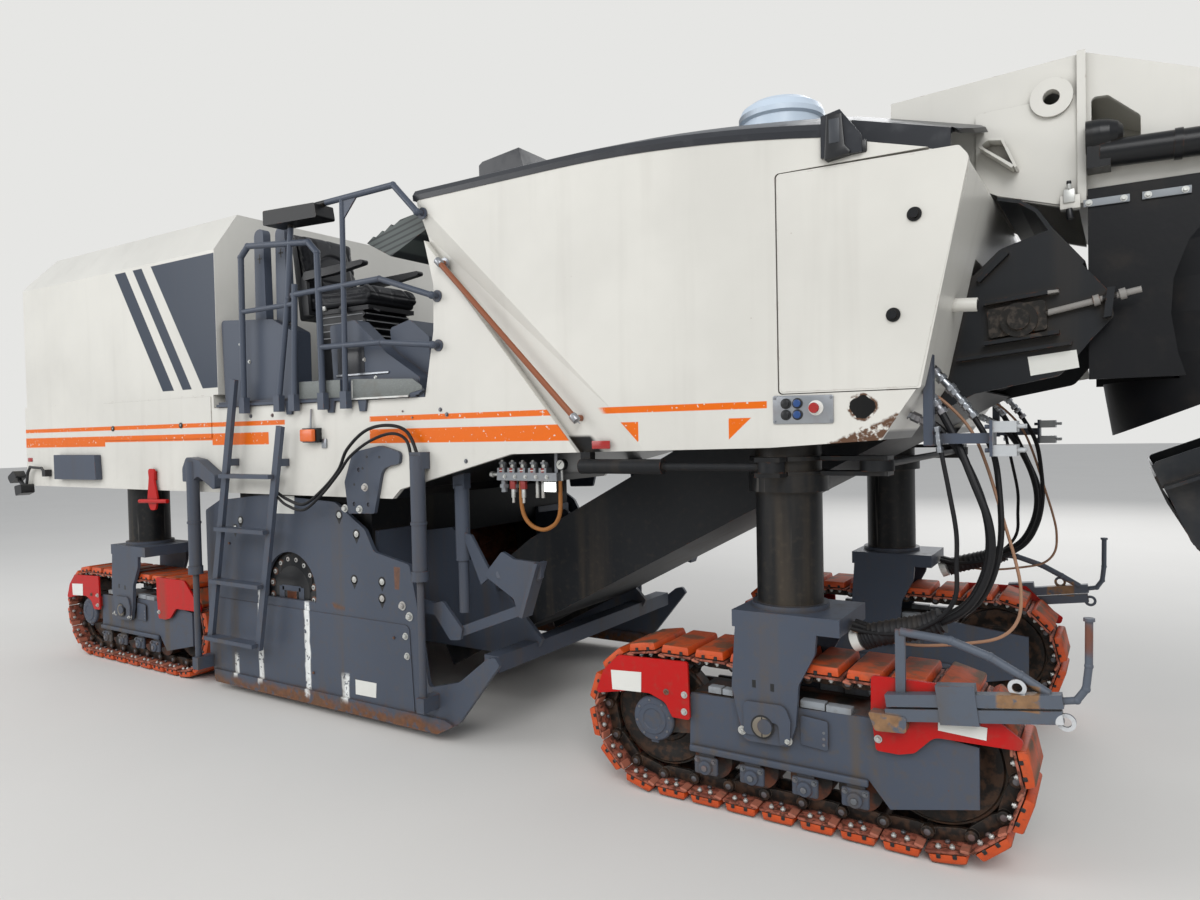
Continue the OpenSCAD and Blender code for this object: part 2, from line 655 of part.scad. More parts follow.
frame_y = pad_out - 10;
module frame_side(y0) slab([[-460, 560], [-470, 290], [410, 300], [500, 190], [860, 270], [860, 530],
  [420, 580]], y0, 20);
roller_r = 100;
module track_frame(x, side) color([0.27, 0.28, 0.3]) placed() translate([x, 0, 0]) on_side(side)
  difference() {
  union() {
    block([-460, -track_y - 130, 330], [430, -track_y + 130, 560]);
    for (y = [-frame_y, -2 * track_y + frame_y - 20]) {
      frame_side(y);
      block([-540, y, 455], [-440, y + 20, 545]);
      // roller brackets
      for (rx = rollers) block([rx - 40, y, loop_r - chain_r + roller_r - 45], [rx + 40, y + 20, 320]);
    }
    // webs between the beam and the side plates
    block([-440, -frame_y + 10, 430], [-380, -2 * track_y + frame_y - 10, 540]);
    block([340, -frame_y + 10, 430], [400, -2 * track_y + frame_y - 10, 540]);
    for (rx = rollers) {
      z = loop_r - chain_r + roller_r + eps;
      bar_y([rx, z], roller_r, -track_y - chain_w / 2 - 18, chain_w + 36);
      bar_y([rx, z], 26, -frame_y, 2 * (frame_y - track_y));
    }
    // drive sprocket and front idler
    for (s = [-1, 1]) {
      bar_y([s * loop_c, loop_r], chain_r - eps, -track_y - 35, 70);
      bar_y([s * loop_c, loop_r], 115, -frame_y + 15, 2 * (frame_y - track_y) - 30);
    }
    slab([[-440, 350], [-680, 320], [-740, 395], [-680, 470], [-440, 540]], -track_y - 150, 30);
    slab([[-440, 350], [-680, 320], [-740, 395], [-680, 470], [-440, 540]], -track_y + 120, 30);
    slab([[420, 350], [680, 320], [740, 395], [680, 470], [420, 540]], -track_y - 150, 30);
    slab([[420, 350], [680, 320], [740, 395], [680, 470], [420, 540]], -track_y + 120, 30);
    bar_y(swing_pin, 90, -frame_y, 2 * (frame_y - track_y));
  }
  bar_y(swing_pin, swing_pin_r + eps, -fork_out - 5, fork_out - fork_in + 10);
}
rollers = [-380, -140, 120, 350];

guard_t = 14;
guard_rear = rounded([
  [-863, 705, 20], [-462, 720, 15], [-454, 431, 15], [-552, 431, 10], [-590, 500, 60], [-680, 532, 60],
    [-790, 530, 60],
  [-1008, 485, 15], [-955, 615, 30]
]);
guard_fore = rounded([
  [431, 780, 15], [815, 784, 30], [935, 664, 60], [1028, 596, 15], [1016, 556, 20], [690, 553, 60],
    [610, 470, 50], [545, 452, 30],
  [449, 452, 15], [429, 622, 0]
]);
module track_guards(x, side) color([0.72, 0.13, 0.12]) placed() translate([x, 0, 0]) on_side(side) {
  y = -pad_out - 6 - guard_t;
  slab(guard_rear, y, guard_t);
  block([-530, y + guard_t, 460], [-465, -frame_y, 540]);
  slab(guard_fore, y, guard_t);
  block([480, y + guard_t, 470], [570, -frame_y, 525]);
}

// bars stowed on the front guards: a double bar, its clamp, and a curved rod that ends upright
module stow_bars(side) color([0.36, 0.38, 0.41]) placed() on_side(side) {
  face = -pad_out - 6 - guard_t;
  y = face - 60;
  // two bars, one over the other
  for (dz = [0, -62]) beam([505, y + 30, 696 + dz], [1169, y + 30, 794 + dz], 52, 52);
  // clamp that holds both, and the foot on the guard
  beam([800, y + 30, 640], [780, y + 30, 800], 150, 60);
  slab(rounded([[430, 640, 10], [590, 640, 10], [590, 570, 15], [460, 560, 15]]), y, 60);
  wire([[1160, 790], [1215, 802], [1246, 850], [1256, 940], [1258, 1120]], y + 30, 14);
  translate([1258, y + 30, 1112]) cylinder(r = 20, h = 12);
  wire([[560, 990], [760, 975], [910, 925], [1020, 865], [1120, 806]], y + 48, 18);
  beam([560, y + 48, 1000], [560, y + 48, 760], 40, 20);
  beam([560, y + 48, 770], [560, y + 48, 700], 40, 20);
  // ring eyes
  for (p = [[1010, 822], [1180, 712]]) difference() {
    bar_y(p, 34, y + 20, 14);
    bar_y(p, 19, y + 19, 16);
  }
}

// drum, housing, side plates

module drum_housing() color([0.27, 0.28, 0.31]) placed() difference() {
  union() {
    slab(at_drum(rounded([[-690, 480, 0], [-690, belly_z, 0], [710, belly_z, 0], [710, 900, 0],
      [640, 480, 60]])), -wall_out, 2 * wall_out);
    // bearing stubs that carry the drum, with their outer covers
    pair() {
      bar_y([drum_x, drum_z], 300, -wall_out - 40, 41);
      bar_y([drum_x, drum_z], 170, -wall_out - 55, 56);
    }
  }
  difference() {
    union() {
      bar_y([drum_x, drum_z], cavity_r, -wall_in, 2 * wall_in);
      block([drum_x - cavity_r, -wall_in, 400], [drum_x + cavity_r, wall_in, drum_z]);
    }
    pair() bar_y([drum_x, drum_z], stub_r, -wall_in - 5, 205);
  }
  block([drum_x + 300, -feed_half + 30, 400], [drum_x + 720, feed_half - 30, 1150]);
}

tool_rows = 15;
tools_round = 6;
module milling_drum() color([0.3, 0.29, 0.28]) placed() translate([drum_x, 0, drum_z]) difference() {
  union() {
    rotate([90, 0, 0]) translate([0, 0, -drum_half]) cylinder(r = drum_r - 110, h = 2 * drum_half);
    for (i = [0 : tool_rows - 1], k = [0 : tools_round - 1]) {
      f = 2 * i / (tool_rows - 1) - 1;
      translate([0, f * (drum_half - 45), 0]) rotate([0, k * 360 / tools_round + (f < 0 ? 1 : -1)
        * f * 150, 0])
        translate([0, 0, drum_r - 125]) cylinder(r1 = 42, r2 = 16, h = 125);
    }
  }
  pair() translate([0, -drum_half - 1, 0]) rotate([-90, 0, 0]) cylinder(r = stub_r + 0.4, h = 205);
}

side_outline = at_drum(rounded([
  [-990, 1340, 20], [-990, 190, 40], [-890, 80, 30], [1350, 60, 0], [1510, 140, 20], [1830, 530, 10],
    [1800, 575, 25], [1740, 560, 30],
  [1520, 390, 50], [1270, 320, 30], [1180, 860, 20], [1130, 1070, 30], [820, 1130, 60], [740, 1270, 60],
    [460, 1440, 60],
  [-250, belly_z - 6, 0], [-810, 1420, 60]
]));
// lift cylinders from the drum's axis: x, lower end of the barrel, top of the barrel, foot of the rod,
// top of the rod
lifts = [[-985, 870, 1710, 250, 1245], [1320, 1000, 1750, 300, 1340]];
lift_y = half_w + 62;

module side_plate(side) color([0.29, 0.31, 0.34]) placed() on_side(side) {
  difference() {
    slab(side_outline, -side_y, side_t);
    // window before the drum's bearing
    intersection() {
      bar_y([drum_x - 20, drum_z - 90], 270, -side_y - 10, side_t + 20);
      block([drum_x - 390, -side_y - 10, drum_z - 150],
        [drum_x + 310, -side_y + side_t + 10, drum_z + 200]);
    }
  }
  // skid along the lower edge
  slab(at_drum(rounded([[-910, 95, 0], [-890, 55, 10], [1350, 55, 0], [1490, 125, 10], [1410, 150, 0],
    [-910, 150, 0]])), -side_y - 22, 60);
  // stiffening plate over the lower half
  slab(at_drum(rounded([[-890, 150, 0], [-890, 690, 30], [1120, 690, 40],
    [1150, 150, 0]])), -side_y - 6, 6);
  for (l = lifts) {
    x = drum_x + l[0];
    block([x - 24, -lift_y - 35, l[3] - 90], [x + 35, -side_y, l[3]]);
    rod([x, -lift_y, l[3]], [x, -lift_y, l[4]], rod_r);
  }
  // lug of the rear rod on the plate's edge
  block([drum_x + lifts[0][0] - 20, -lift_y - 35, lifts[0][3] - 90],
    [drum_x - 940, -side_y, lifts[0][3]]);
}

module lift_barrels() color([0.3, 0.32, 0.35]) placed() {
  pair() for (l = lifts) {
    x = drum_x + l[0];
    difference() {
      translate([x, -lift_y, l[1]]) {
        cylinder(r = barrel_r, h = l[2] - l[1]);
        cylinder(r = barrel_r + 7, h = 60);
        translate([0, 0, (l[2] - l[1]) * 0.45]) cylinder(r = barrel_r + 5, h = 16);
      }
      translate([x, -lift_y, l[1] - 1]) cylinder(r = rod_r + run_gap, h = 100);
      translate([x, -lift_y, l[1] + 60]) cylinder(r = rod_r + rod_gap, h = l[2] - l[1] - 80);
    }
    block([x - 45, -lift_y - 20, l[2] - 80], [x + 45, -half_w, l[2] + 20]);
  }
  pair() {
    // hooked bracket of the rear cylinder
    slab(at_drum(rounded([[-1085, 1560, 10], [-1085, 1660, 50], [-1030, 1745, 40], [-890, 1725, 60],
      [-680, 1610, 20], [-686, 1500, 20], [-905, 1612, 60],
      [-955, 1560, 10]])), -lift_y - 20, lift_y + 20 - half_w);
    // hanger of the front cylinder
    difference() {
      slab(at_drum(rounded([[635, 1580, 30], [717, 1771, 60], [970, 1812, 80], [1141, 1769, 30],
        [1130, 1700, 20], [982, 1671, 80], [901, 1385, 15], [664, 1377, 15]])), -half_w - 26, 26);
      for (p = [[720, 1440], [850, 1440], [770, 1660]]) bar_y([drum_x + p[0], p[1]],
        14, -half_w - 30, 12);
    }
  }
  // scraper cylinders
  pair() difference() {
    translate([drum_x - 835, -550, 950]) cylinder(r = 42, h = belly_z - 950);
    translate([drum_x - 835, -550, 949]) cylinder(r = 18 + run_gap, h = 100);
    translate([drum_x - 835, -550, 1010]) cylinder(r = 24, h = belly_z - 1030);
  }
}

module scraper_blade() color([0.28, 0.3, 0.33]) placed() translate([drum_x, 0, 0]) {
  half = drum_half + 5;
  block([-780, -half, 90], [-740, half, 1150]);
  for (f = [-0.82, -0.27, 0.27, 0.82]) block([-740, f * half - 30, 520], [-690.3, f * half + 30, 1120]);
  pair() {
    block([-880, -600, 380], [-780, -500, 430]);
    translate([-835, -550, 430]) cylinder(r = 18, h = 710);
  }
}

// gate before the drum with its lifting gear
gear_y = drum_half + 5;
module front_shield() color([0.24, 0.26, 0.29]) placed() {
  pair() {
    slab(at_drum([[710, 430], [710, 1200], [1010, 1240], [1410, 900], [1750, 560],
      [1680, 430]]), -feed_half - 70, 30);
    block([drum_x + 710.3, -gear_y, 480], [drum_x + 740, -feed_half - 40, 1250]);
    // cylinder from the tank's underside to its knuckle
    rod([drum_x + 1450, -gear_y + 30, 780], [drum_x + 1450, -gear_y + 30, 1150], 32);
    rod([drum_x + 1450, -gear_y + 30, 1100], [drum_x + 1450, -gear_y + 30, 1560], 45);
    slab(at_drum([[1405, 1540], [1405, tank_under(drum_x + 1405) - eps], [1495, tank_under(drum_x + 1495) - eps],
      [1495, 1540]]), -gear_y, 60);
    slab(at_drum(rounded([[740, 900, 0], [740, 760, 0], [1230, 746, 10], [1355, 600, 15],
      [1440, 612, 15], [1455, 680, 20], [1300, 838, 30], [1230, 820, 10]])), -gear_y - 5, 22);
    // beam forward to the carrier of the cross bar
    beam([drum_x + 1420, -gear_y + 30, 655], [drum_x + 1935, -gear_y + 30, 852], 60, 34);
    slab(at_drum(rounded([[1639, 1026, 20], [1780, 1177, 20], [1867, 1136, 20], [2067, 1127, 8],
      [2065, 1040, 8], [1960, 985, 20], [1940, 818, 15], [1900, 800, 15],
      [1860, 904, 30]])), -gear_y - 5, 26);
    slab(at_drum([[2040, 1130], [2067, 1127], [1950, 805], [1925, 812]]), -gear_y - 45, 100);
    slab(at_drum([[1459, 1279], [1537, 1259], [1690, 1029], [1606, 964]]), -gear_y + 5, 20);
    block([drum_x + 1400, -gear_y + 20, 1200], [drum_x + 1500, -gear_y + 40, 1300]);
    // stay from the carrier to the inner plate
    rod([drum_x + 1760, -gear_y, 1040], [drum_x + 1400, -feed_half - 50, 860], 26);
  }
  block([drum_x + 1610, -gear_y + 15, 440], [drum_x + 1720, gear_y - 15, 540]);
}
// height of the tank's underside where it rises to the body
function tank_under(x) = belly_z + 117 + (x + tank_rear) * (1755 - belly_z - 117) / (tank_rear - 1530);

// feeding conveyor

module feed_frame() translate([-feed_tail_x, 0, feed_tail_z]) rotate([0, -feed_rise, 0]) children();

head_outline = rounded([
  [560, 2120, 0], [660, 1990, 40], [1130, 2080, 60], [1250, 2230, 80], [1340, 2330, 30], [1320, 2440, 0],
    [1090, 2740, 0], [890, 2680, 60],
  [710, 2510, 60], [560, 2470, 0]
]);
// rubber hood over the head drum, lying on the plates' sloping edges
head_hood = [
  [880, 2921], [975, 2893], [1045, 2841], [1103, 2750], [1232, 2582], [1219, 2567], [1088, 2738],
    [1035, 2828], [968, 2879], [880, 2906]
];
module feed_conveyor() color([0.2, 0.22, 0.25]) placed() {
  feed_frame() {
    for (y = [-feed_half, feed_half - 20]) slab([[-130, -190], [feed_len - 300, -190],
      [feed_len - 300, 300], [900, 300], [-130, 150]], y, 20);
    block([600, -feed_half, -200], [feed_len - 300, feed_half, -190]);
    block([1100, -feed_half, 300], [feed_len - 320, feed_half, 310]);
    for (x = [0, feed_len]) {
      bar_y([x, 0], feed_drum_r, -feed_half + 80, 2 * feed_half - 160);
      bar_y([x, 0], 40, -feed_half - 20, 2 * feed_half + 40);
    }
    for (x = [700 : 700 : feed_len - 500]) bar_y([x, feed_drum_r - 45 - eps],
      45, -feed_half + 10, 2 * feed_half - 20);
    // lugs in the tank's tunnel
    pair() block([2500, -tunnel_half, -60], [2900, -feed_half, 60]);
  }
  for (y = [-feed_half, feed_half - 20]) slab(head_outline, y, 20);
  slab(head_hood, -feed_half, 2 * feed_half);
  pair() {
    // sliding bearing of the head drum between its two guides
    slab(rounded([[845, 2265, 15], [835, 2400, 15], [1075, 2425, 15],
      [1085, 2290, 15]]), -feed_half - 40, 40);
    bar_y([feed_head_x, feed_head_z], 78, -feed_half - 62, 24);
    bar_y([feed_head_x, feed_head_z], 46, -feed_half - 80, 20);
    for (dz = [-95, 90]) slab([[820, feed_head_z + dz - 12], [1130, feed_head_z + dz + 20],
      [1130, feed_head_z + dz + 38], [820, feed_head_z + dz + 6]], -feed_half - 55, 55);
    // tension screw and its stop
    rod([1075, -feed_half - 30, 2362], [1440, -feed_half - 30, 2432], 14);
    slab([[1300, 2320], [1330, 2325], [1345, 2450], [1315, 2450]], -feed_half - 60, 60);
    for (x = [1262, 1360]) rod([x, -feed_half - 30, 2362 + (x - 1075) * 0.192],
      [x + 24, -feed_half - 30, 2367 + (x - 1075) * 0.192], 24);
    // ribs on the head plates
    slab([[700, 2166], [1180, 2215], [1180, 2230], [700, 2181]], -feed_half - 45, 45);
    slab([[790, 2545], [805, 2530], [930, 2650], [900, 2665]], -feed_half - 40, 40);
  }
}

module belt_loop(len, r, t, half) {
  translate([0, half, 0]) rotate([90, 0, 0]) linear_extrude(2 * half) difference() {
    union() {
      for (x = [0, len]) translate([x, 0]) circle(r = r + eps + t);
      translate([0, -r - eps - t]) square([len, 2 * (r + eps + t)]);
    }
    union() {
      for (x = [0, len]) translate([x, 0]) circle(r = r + eps);
      translate([0, -r - eps]) square([len, 2 * (r + eps)]);
    }
  }
}

module feed_belt() color([0.08, 0.08, 0.08]) placed() feed_frame()
  belt_loop(feed_len, feed_drum_r, belt_t, feed_half - 110);

// gantry and slewing gear

gantry_rear = [[380, tank_top(380)], [380, 3500], [1200, 3540], [1200, 2840], [870, 2945],
  [front_reach, front_corner_z]];
gantry_fore = [[1235, base_z], [1235, 3540], [1600, 3370], [1700, 3350], [1700, base_z]];
window = rounded([[1255, 3080, 20], [1255, 3335, 20], [1320, 3330, 20], [1442, 3215, 20],
  [1442, 3120, 20], [1400, 3080, 20]]);
base_r_out = shroud_r - 15 - run_gap;

eye_at = [1098, 3362];
eye_boss = 30;
module gantry() color([0.9, 0.88, 0.83]) placed() difference() {
  union() {
    for (y = [-gantry_half, gantry_half - gantry_t]) {
      slab(gantry_rear, y, gantry_t);
      slab(gantry_fore, y, gantry_t);
    }
    block([1200, -gantry_half - 30, 2860], [1235, gantry_half + 30, 3545]);
    slab([[380, 3480], [380, 3500], [1200, 3540], [1200, 3520]], -gantry_half, 2 * gantry_half);
    slab([[1235, 3518], [1235, 3540], [1700, 3350], [1700, 3300], [1600, 3345]],
      -gantry_half, 2 * gantry_half);
    // base plate over the shroud
    block([1235, -base_r_out, base_z], [slew_x, base_r_out, base_z + 30]);
    translate([slew_x, 0, base_z]) cylinder(r = base_r_out, h = 30);
    // doubling plates round the lifting eyes, and ribbed shelves behind
    pair() {
      slab(rounded([[775, tank_top(775) + 8, 0], [775, 3345, 15], [790, 3358, 15], [1200, 3358, 0],
        [1200, 2848, 0], [875, 2951, 0]]), -gantry_half - 10, 10);
      slab([[812, 3191], [839, 3208], [905, 3196], [962, 3052], [952, 3048], [896, 3184], [840, 3194],
        [816, 3180]], -gantry_half - 110, 100);
      slab([[800, 3170], [800, 3182], [950, 3060], [940, 3050]], -gantry_half - 110, 100);
    }
    // lugs and pin of the slewing joint
    for (z = [base_z + 30, 3305]) {
      translate([slew_x, 0, z]) cylinder(r = 165, h = 45);
      block([1640, -165, z], [slew_x, 165, z + 45]);
    }
    translate([slew_x, 0, base_z + 20]) cylinder(r = slew_pin_r, h = 3370 - base_z);
    // bosses of the lifting eyes
    pair() bar_y(eye_at, 88, -gantry_half - eye_boss, eye_boss + 1);
  }
  pair() {
    slab(window, -gantry_half - 10, gantry_t + 20);
    bar_y(eye_at, eye_r, -gantry_half - eye_boss - 6, gantry_t + eye_boss + 26);
  }
}

module slew_cylinders() color([0.12, 0.12, 0.13]) placed() pair() {
  y = -gantry_half - 75;
  rod([1290, y, 3050], [slew_x - 15, y, 3030], 60);
  block([1240, y - 50, 2985], [1330, -gantry_half, 3095]);
  // collar and rubber cap over the pin
  rod([1235.3, y, 3132], [1262, y, 3132], 72);
  translate([1262, y, 3132]) rotate([0, 90, 0]) rotate_extrude()
    polygon([[0, 0], [74, 0], [73, 30], [66, 65], [52, 96], [32, 114], [0, 120]]);
  // clamp round the barrel
  rod([1560, y, 3041], [1590, y, 3040], 66);
}

// half of the shroud's section: radius and height, bulging below its clamped top
shroud_wall = 15;
shroud_bulge = [[540, base_z + 30], [540, 2830], [566, 2770], [612, 2640], [640, 2480], [645, 2330],
  [632, 2160], [606, 1980], [575, 1780], [560, 1700]];
module shroud() color([0.06, 0.06, 0.065]) placed() difference() {
  union() {
    translate([slew_x, 0, 0]) rotate_extrude() polygon(concat([[0, 1700], [0, base_z + 30]],
      shroud_bulge));
    block([1240, -shroud_r, 2060], [slew_x, shroud_r, base_z + 30]);
  }
  translate([slew_x, 0, 0]) rotate_extrude()
    polygon(concat([[0, 1690], [0, base_z + 40]],
      [for (p = shroud_bulge)
      [p[0] - shroud_wall, p[1] > base_z ? base_z + 40 : p[1] < 1750 ? 1690 : p[1]]]));
  block([1200, -shroud_r + shroud_wall, 2050], [slew_x, shroud_r - shroud_wall, base_z + 40]);
  // lower edge, clear of the conveyor's deck when it swings
  slab([[slew_x - 700, 1600], [slew_x - 700, 1745], [slew_x + 700, 2333], [slew_x + 700, 1600]],
    -700, 1400);
}

// the yoke turns about the slewing pin and carries the discharge conveyor
yoke_arm = [[500, 3180], [740, 3180], [700, 2400], [600, 1650], [-70, 1650], [-70, 1790], [420, 1850],
  [500, 2300]];
arm_in = 700;
module slew_yoke() color([0.9, 0.88, 0.83]) placed() translate([slew_x, 0, 0]) difference() {
  union() {
    translate([0, 0, base_z + 80]) cylinder(r = 120, h = 3300 - base_z - 80);
    block([60, -90, 2990], [600, 90, 3280]);
    block([560, -arm_in - 40, 2990], [740, arm_in + 40, 3180]);
    for (y = [-arm_in - 40, arm_in]) slab(yoke_arm, y, 40);
    // ears for the luffing cylinders
    pair() for (y = [-640, -560]) slab([[700, 2990], [700, 3160], [820, 3120], [870, 3060], [820, 2990]],
      y, 20);
    pair() bar_y([805, 3050], luff_pin_r, -645, 110);
  }
  translate([0, 0, base_z]) cylinder(r = slew_pin_r + 0.4, h = 600);
  bar_y([0, luff_z], 40.4, -arm_in - 60, 2 * arm_in + 120);
}

// discharge conveyor, drawn along its own slope from the luffing pivot

module boom_frame() placed() translate([slew_x, 0, luff_z]) rotate([0, -boom_rise, 0]) children();
drum_drop = boom_drum_r + belt_t + 10;
// pins of the luffing cylinders: place along and above the conveyor, radius
luff_eye = [2900, 50];
luff_pin_r = 22;
side_low = -310;
cover = [[-boom_half, 160], [-boom_half, 320], [-300, 420], [300, 420], [boom_half, 320],
  [boom_half, 160]];
cover_in = [[-boom_half + 15, 150], [-boom_half + 15, 312], [-294, 405], [294, 405],
  [boom_half - 15, 312], [boom_half - 15, 150]];

tail_end = -406;
tail_u = -270;
module discharge_rear() color([0.9, 0.88, 0.83]) boom_frame() {
  for (y = [-boom_half, boom_half - 20])
    slab(rounded([[tail_end, side_low, 60], [fold_at, side_low, 0], [fold_at, 160, 0], [640, 160, 30],
      [640, 0, 0], [-60, 0, 0], [-100, 120, 20], [tail_end, 120, 20]]), y, 20);
  // deck of the receiving hopper and the flap that closes it behind
  pair() block([tail_end, -600, 0], [640, -boom_half + 60, 14]);
  block([tail_end - 8, -boom_half, 0], [tail_end, boom_half, 110]);
  slab([[tail_end - 18, 10], [tail_end - 8, 10], [tail_end - 8, -60], [tail_end + 20, -290],
    [tail_end + 120, -520], [tail_end + 110, -528], [tail_end + 8, -292], [tail_end - 18, -66]],
    -boom_half + 20, 2 * boom_half - 40);
  block([tail_end - 18, -boom_half + 20, 0], [tail_end - 8, boom_half - 20, 60]);
  // trunnions
  pair() {
    bar_y([0, 0], 40, -arm_in - 40, arm_in + 40 - boom_half);
    bar_y([0, 0], 75, -arm_in + 8, arm_in - 8 - boom_half);
  }
  // tail drum, idlers and fold end drum
  for (x = [tail_u, fold_at - 150]) {
    bar_y([x, -drum_drop], boom_drum_r, -boom_half + 60, 2 * boom_half - 120);
    bar_y([x, -drum_drop], 35, -boom_half + 5, 2 * boom_half - 10);
  }
  for (x = [200 : 900 : fold_at - 500]) bar_y([x, -drum_drop + boom_drum_r - 40 - eps],
    40, -boom_half + 5, 2 * boom_half - 10);
  // bottom braces
  for (x = [300 : 900 : fold_at - 100]) block([x, -boom_half + 5, side_low],
    [x + 60, boom_half - 5, side_low + 30]);
  difference() {
    along_x(cover, 1000, fold_at - 1020);
    along_x(cover_in, 990, fold_at - 1000);
  }
  // ears for the luffing cylinders
  pair() {
    block([luff_eye[0] - 60, -boom_half - 50, luff_eye[1] - 60],
      [luff_eye[0] + 60, -boom_half, luff_eye[1] + 60]);
    bar_y(luff_eye, luff_pin_r, -630, 630 - boom_half);
  }
  // lower hinge knuckles of the fold
  pair() bar_y([fold_at, side_low], 40, -boom_half - 30, 50);
}
module discharge_front() color([0.9, 0.88, 0.83]) boom_frame() difference() {
  union() {
    for (y = [-boom_half, boom_half - 20]) {
      slab([[fold_at + 6, side_low], [boom_len - 500, side_low], [boom_len, -drum_drop - boom_end_r],
        [boom_len, -drum_drop + boom_end_r], [boom_len - 300, 160], [fold_at + 6, 160]], y, 20);
      bar_y([boom_len, -drum_drop], boom_end_r, y, 20);
    }
    for (x = [fold_at + 160, boom_len]) {
      bar_y([x, -drum_drop], boom_drum_r, -boom_half + 60, 2 * boom_half - 120);
      bar_y([x, -drum_drop], 35, -boom_half + 5, 2 * boom_half - 10);
    }
    for (x = [fold_at + 500 : 600 : boom_len - 300]) block([x, -boom_half + 5, side_low],
      [x + 60, boom_half - 5, side_low + 30]);
    difference() {
      along_x(cover, fold_at + 10, boom_len - fold_at - 420);
      along_x(cover_in, fold_at, boom_len - fold_at - 390);
    }
    pair() bar_y([fold_at, side_low], 40, -boom_half + 20 + run_gap, 50);
    block([fold_at + 6, -boom_half, side_low], [fold_at + 60, boom_half, side_low + 30]);
  }
  pair() bar_y([fold_at, side_low], 45, -boom_half - 31, 51 + run_gap);
}

module belt_rear() color([0.08, 0.08, 0.08]) boom_frame() translate([tail_u, 0, -drum_drop])
  belt_loop(fold_at - 150 - tail_u, boom_drum_r, belt_t, boom_half - 90);
module belt_front() color([0.08, 0.08, 0.08]) boom_frame() translate([fold_at + 160, 0, -drum_drop])
  belt_loop(boom_len - fold_at - 160, boom_drum_r, belt_t, boom_half - 90);

// luffing cylinders, in the plane beside the conveyor
luff_from = [slew_x + 805, 3050];
luff_to = [slew_x + luff_eye[0] * cos(boom_rise)
  - luff_eye[1] * sin(boom_rise), luff_z + luff_eye[0] * sin(boom_rise) + luff_eye[1] * cos(boom_rise)];
luff_l = norm(luff_to - luff_from);
luff_dir = atan2(luff_to[1] - luff_from[1], luff_to[0] - luff_from[0]);
module luff_line() placed() translate([luff_from[0],
  0, luff_from[1]]) rotate([0, -luff_dir, 0]) children();

module luff_barrels() color([0.12, 0.12, 0.13]) luff_line() pair() translate([0, -590, 0]) difference() {
  union() {
    rod([40, 0, 0], [130, 0, 0], 24);
    rod([120, 0, 0], [1250, 0, 0], 50);
    bar_y([0, 0], 52, -25, 50);
  }
  rod([300, 0, 0], [1190, 0, 0], 35);
  rod([1150, 0, 0], [1251, 0, 0], 28 + run_gap);
  bar_y([0, 0], luff_pin_r + run_gap, -30, 60);
}

module luff_rods() color([0.75, 0.76, 0.78]) luff_line() pair() translate([0, -590, 0]) difference() {
  union() {
    rod([750, 0, 0], [luff_l - 50, 0, 0], 28);
    bar_y([luff_l, 0], 66, -25, 50);
  }
  // eye, wide enough for the pin to drift in
  bar_y([luff_l, 0], luff_pin_r + 20, -30, 60);
}

// small fixtures

module lamps() color([0.12, 0.12, 0.13]) placed() pair() {
  // marker lamp on the side
  block([-3256, -half_w - 42, 1837], [-3113, -half_w, 1933]);
  // work lamps on an arm at the rear corner
  wire([[-6800, 1600], [-6870, 1645], [-7080, 1652], [-7130, 1600], [-7165, 1470]], -half_w - 40, 12);
  block([-6830, -half_w - 55, 1570], [-6770, -half_w, 1630]);
  slab(rounded([[-7240, 1480, 15], [-7110, 1500, 15], [-7100, 1420, 15],
    [-7220, 1390, 15]]), -half_w - 110, 110);
  slab(rounded([[-7420, 1560, 20], [-7300, 1620, 20], [-7240, 1560, 15],
    [-7360, 1500, 15]]), -half_w - 90, 90);
  beam([-7330, -half_w - 40, 1560], [-7170, -half_w - 40, 1450], 28, 24);
  // work lamp beside the valves
  slab(rounded([[-1375, 1535, 8], [-1375, 1599.7, 0], [-1290, 1599.7, 0],
    [-1290, 1535, 8]]), -track_y - 120, 70);
}

// valves that hang under the tank's edge: bar, spools over it and fittings below
valve_x = [for (k = [0 : 4]) -1690 + 75 * k];
valve_y = -track_y - 85;
module valve_blocks() color([0.6, 0.61, 0.6]) placed() pair() {
  block([-1715, valve_y - 35, 1600], [-1290, valve_y + 35, 1645]);
  for (x = valve_x) {
    block([x - 26, valve_y - 30, 1645], [x + 26, valve_y + 30, 1672]);
    translate([x, valve_y, 1672]) cylinder(r = 16, h = 26);
    translate([x, valve_y - 12, 1694]) cylinder(r = 22, h = 12, $fn = 6);
  }
  for (x = [-1690, -1615]) {
    translate([x, valve_y, 1530]) cylinder(r = 18, h = 70);
    translate([x, valve_y, 1556]) cylinder(r = 26, h = 20, $fn = 6);
  }
  for (x = [-1725, -1330]) slab([[x, 1610], [x, tank_mid(x) - eps], [x + 20, tank_mid(x) - eps],
    [x + 20, 1610]], valve_y + 5, 20);
}
// height of the tank's underside over the valves
function tank_mid(x) = x < -1530 ? tank_under(x) : tank_bottom(x);

// angled bracket that carries the drive hoses past the tank's nose
module hose_brackets() color([0.4, 0.42, 0.44]) placed() pair() {
  y = -track_y - 95;
  slab([[640, 1780], [640, nose[1] - 10 * (nose[1] - chin[1]) / (nose[0] - chin[0])],
    nose, [680, nose[1] + 30 * (front_corner_z - nose[1]) / (front_reach - nose[0])], [680, 1780]],
    y, 50);
  block([680, y + 4, 1788], [905, y + 46, 1832]);
  block([905, y - 40, 1735], [917, y + 90, 1885]);
  // clamps with their bolts
  for (z = [1760, 1858]) {
    block([917, y - 30, z - 24], [1005, y + 80, z + 22]);
    for (dy = [-14, 64]) rod([885, y + dy, z], [1035, y + dy, z], 9);
  }
}

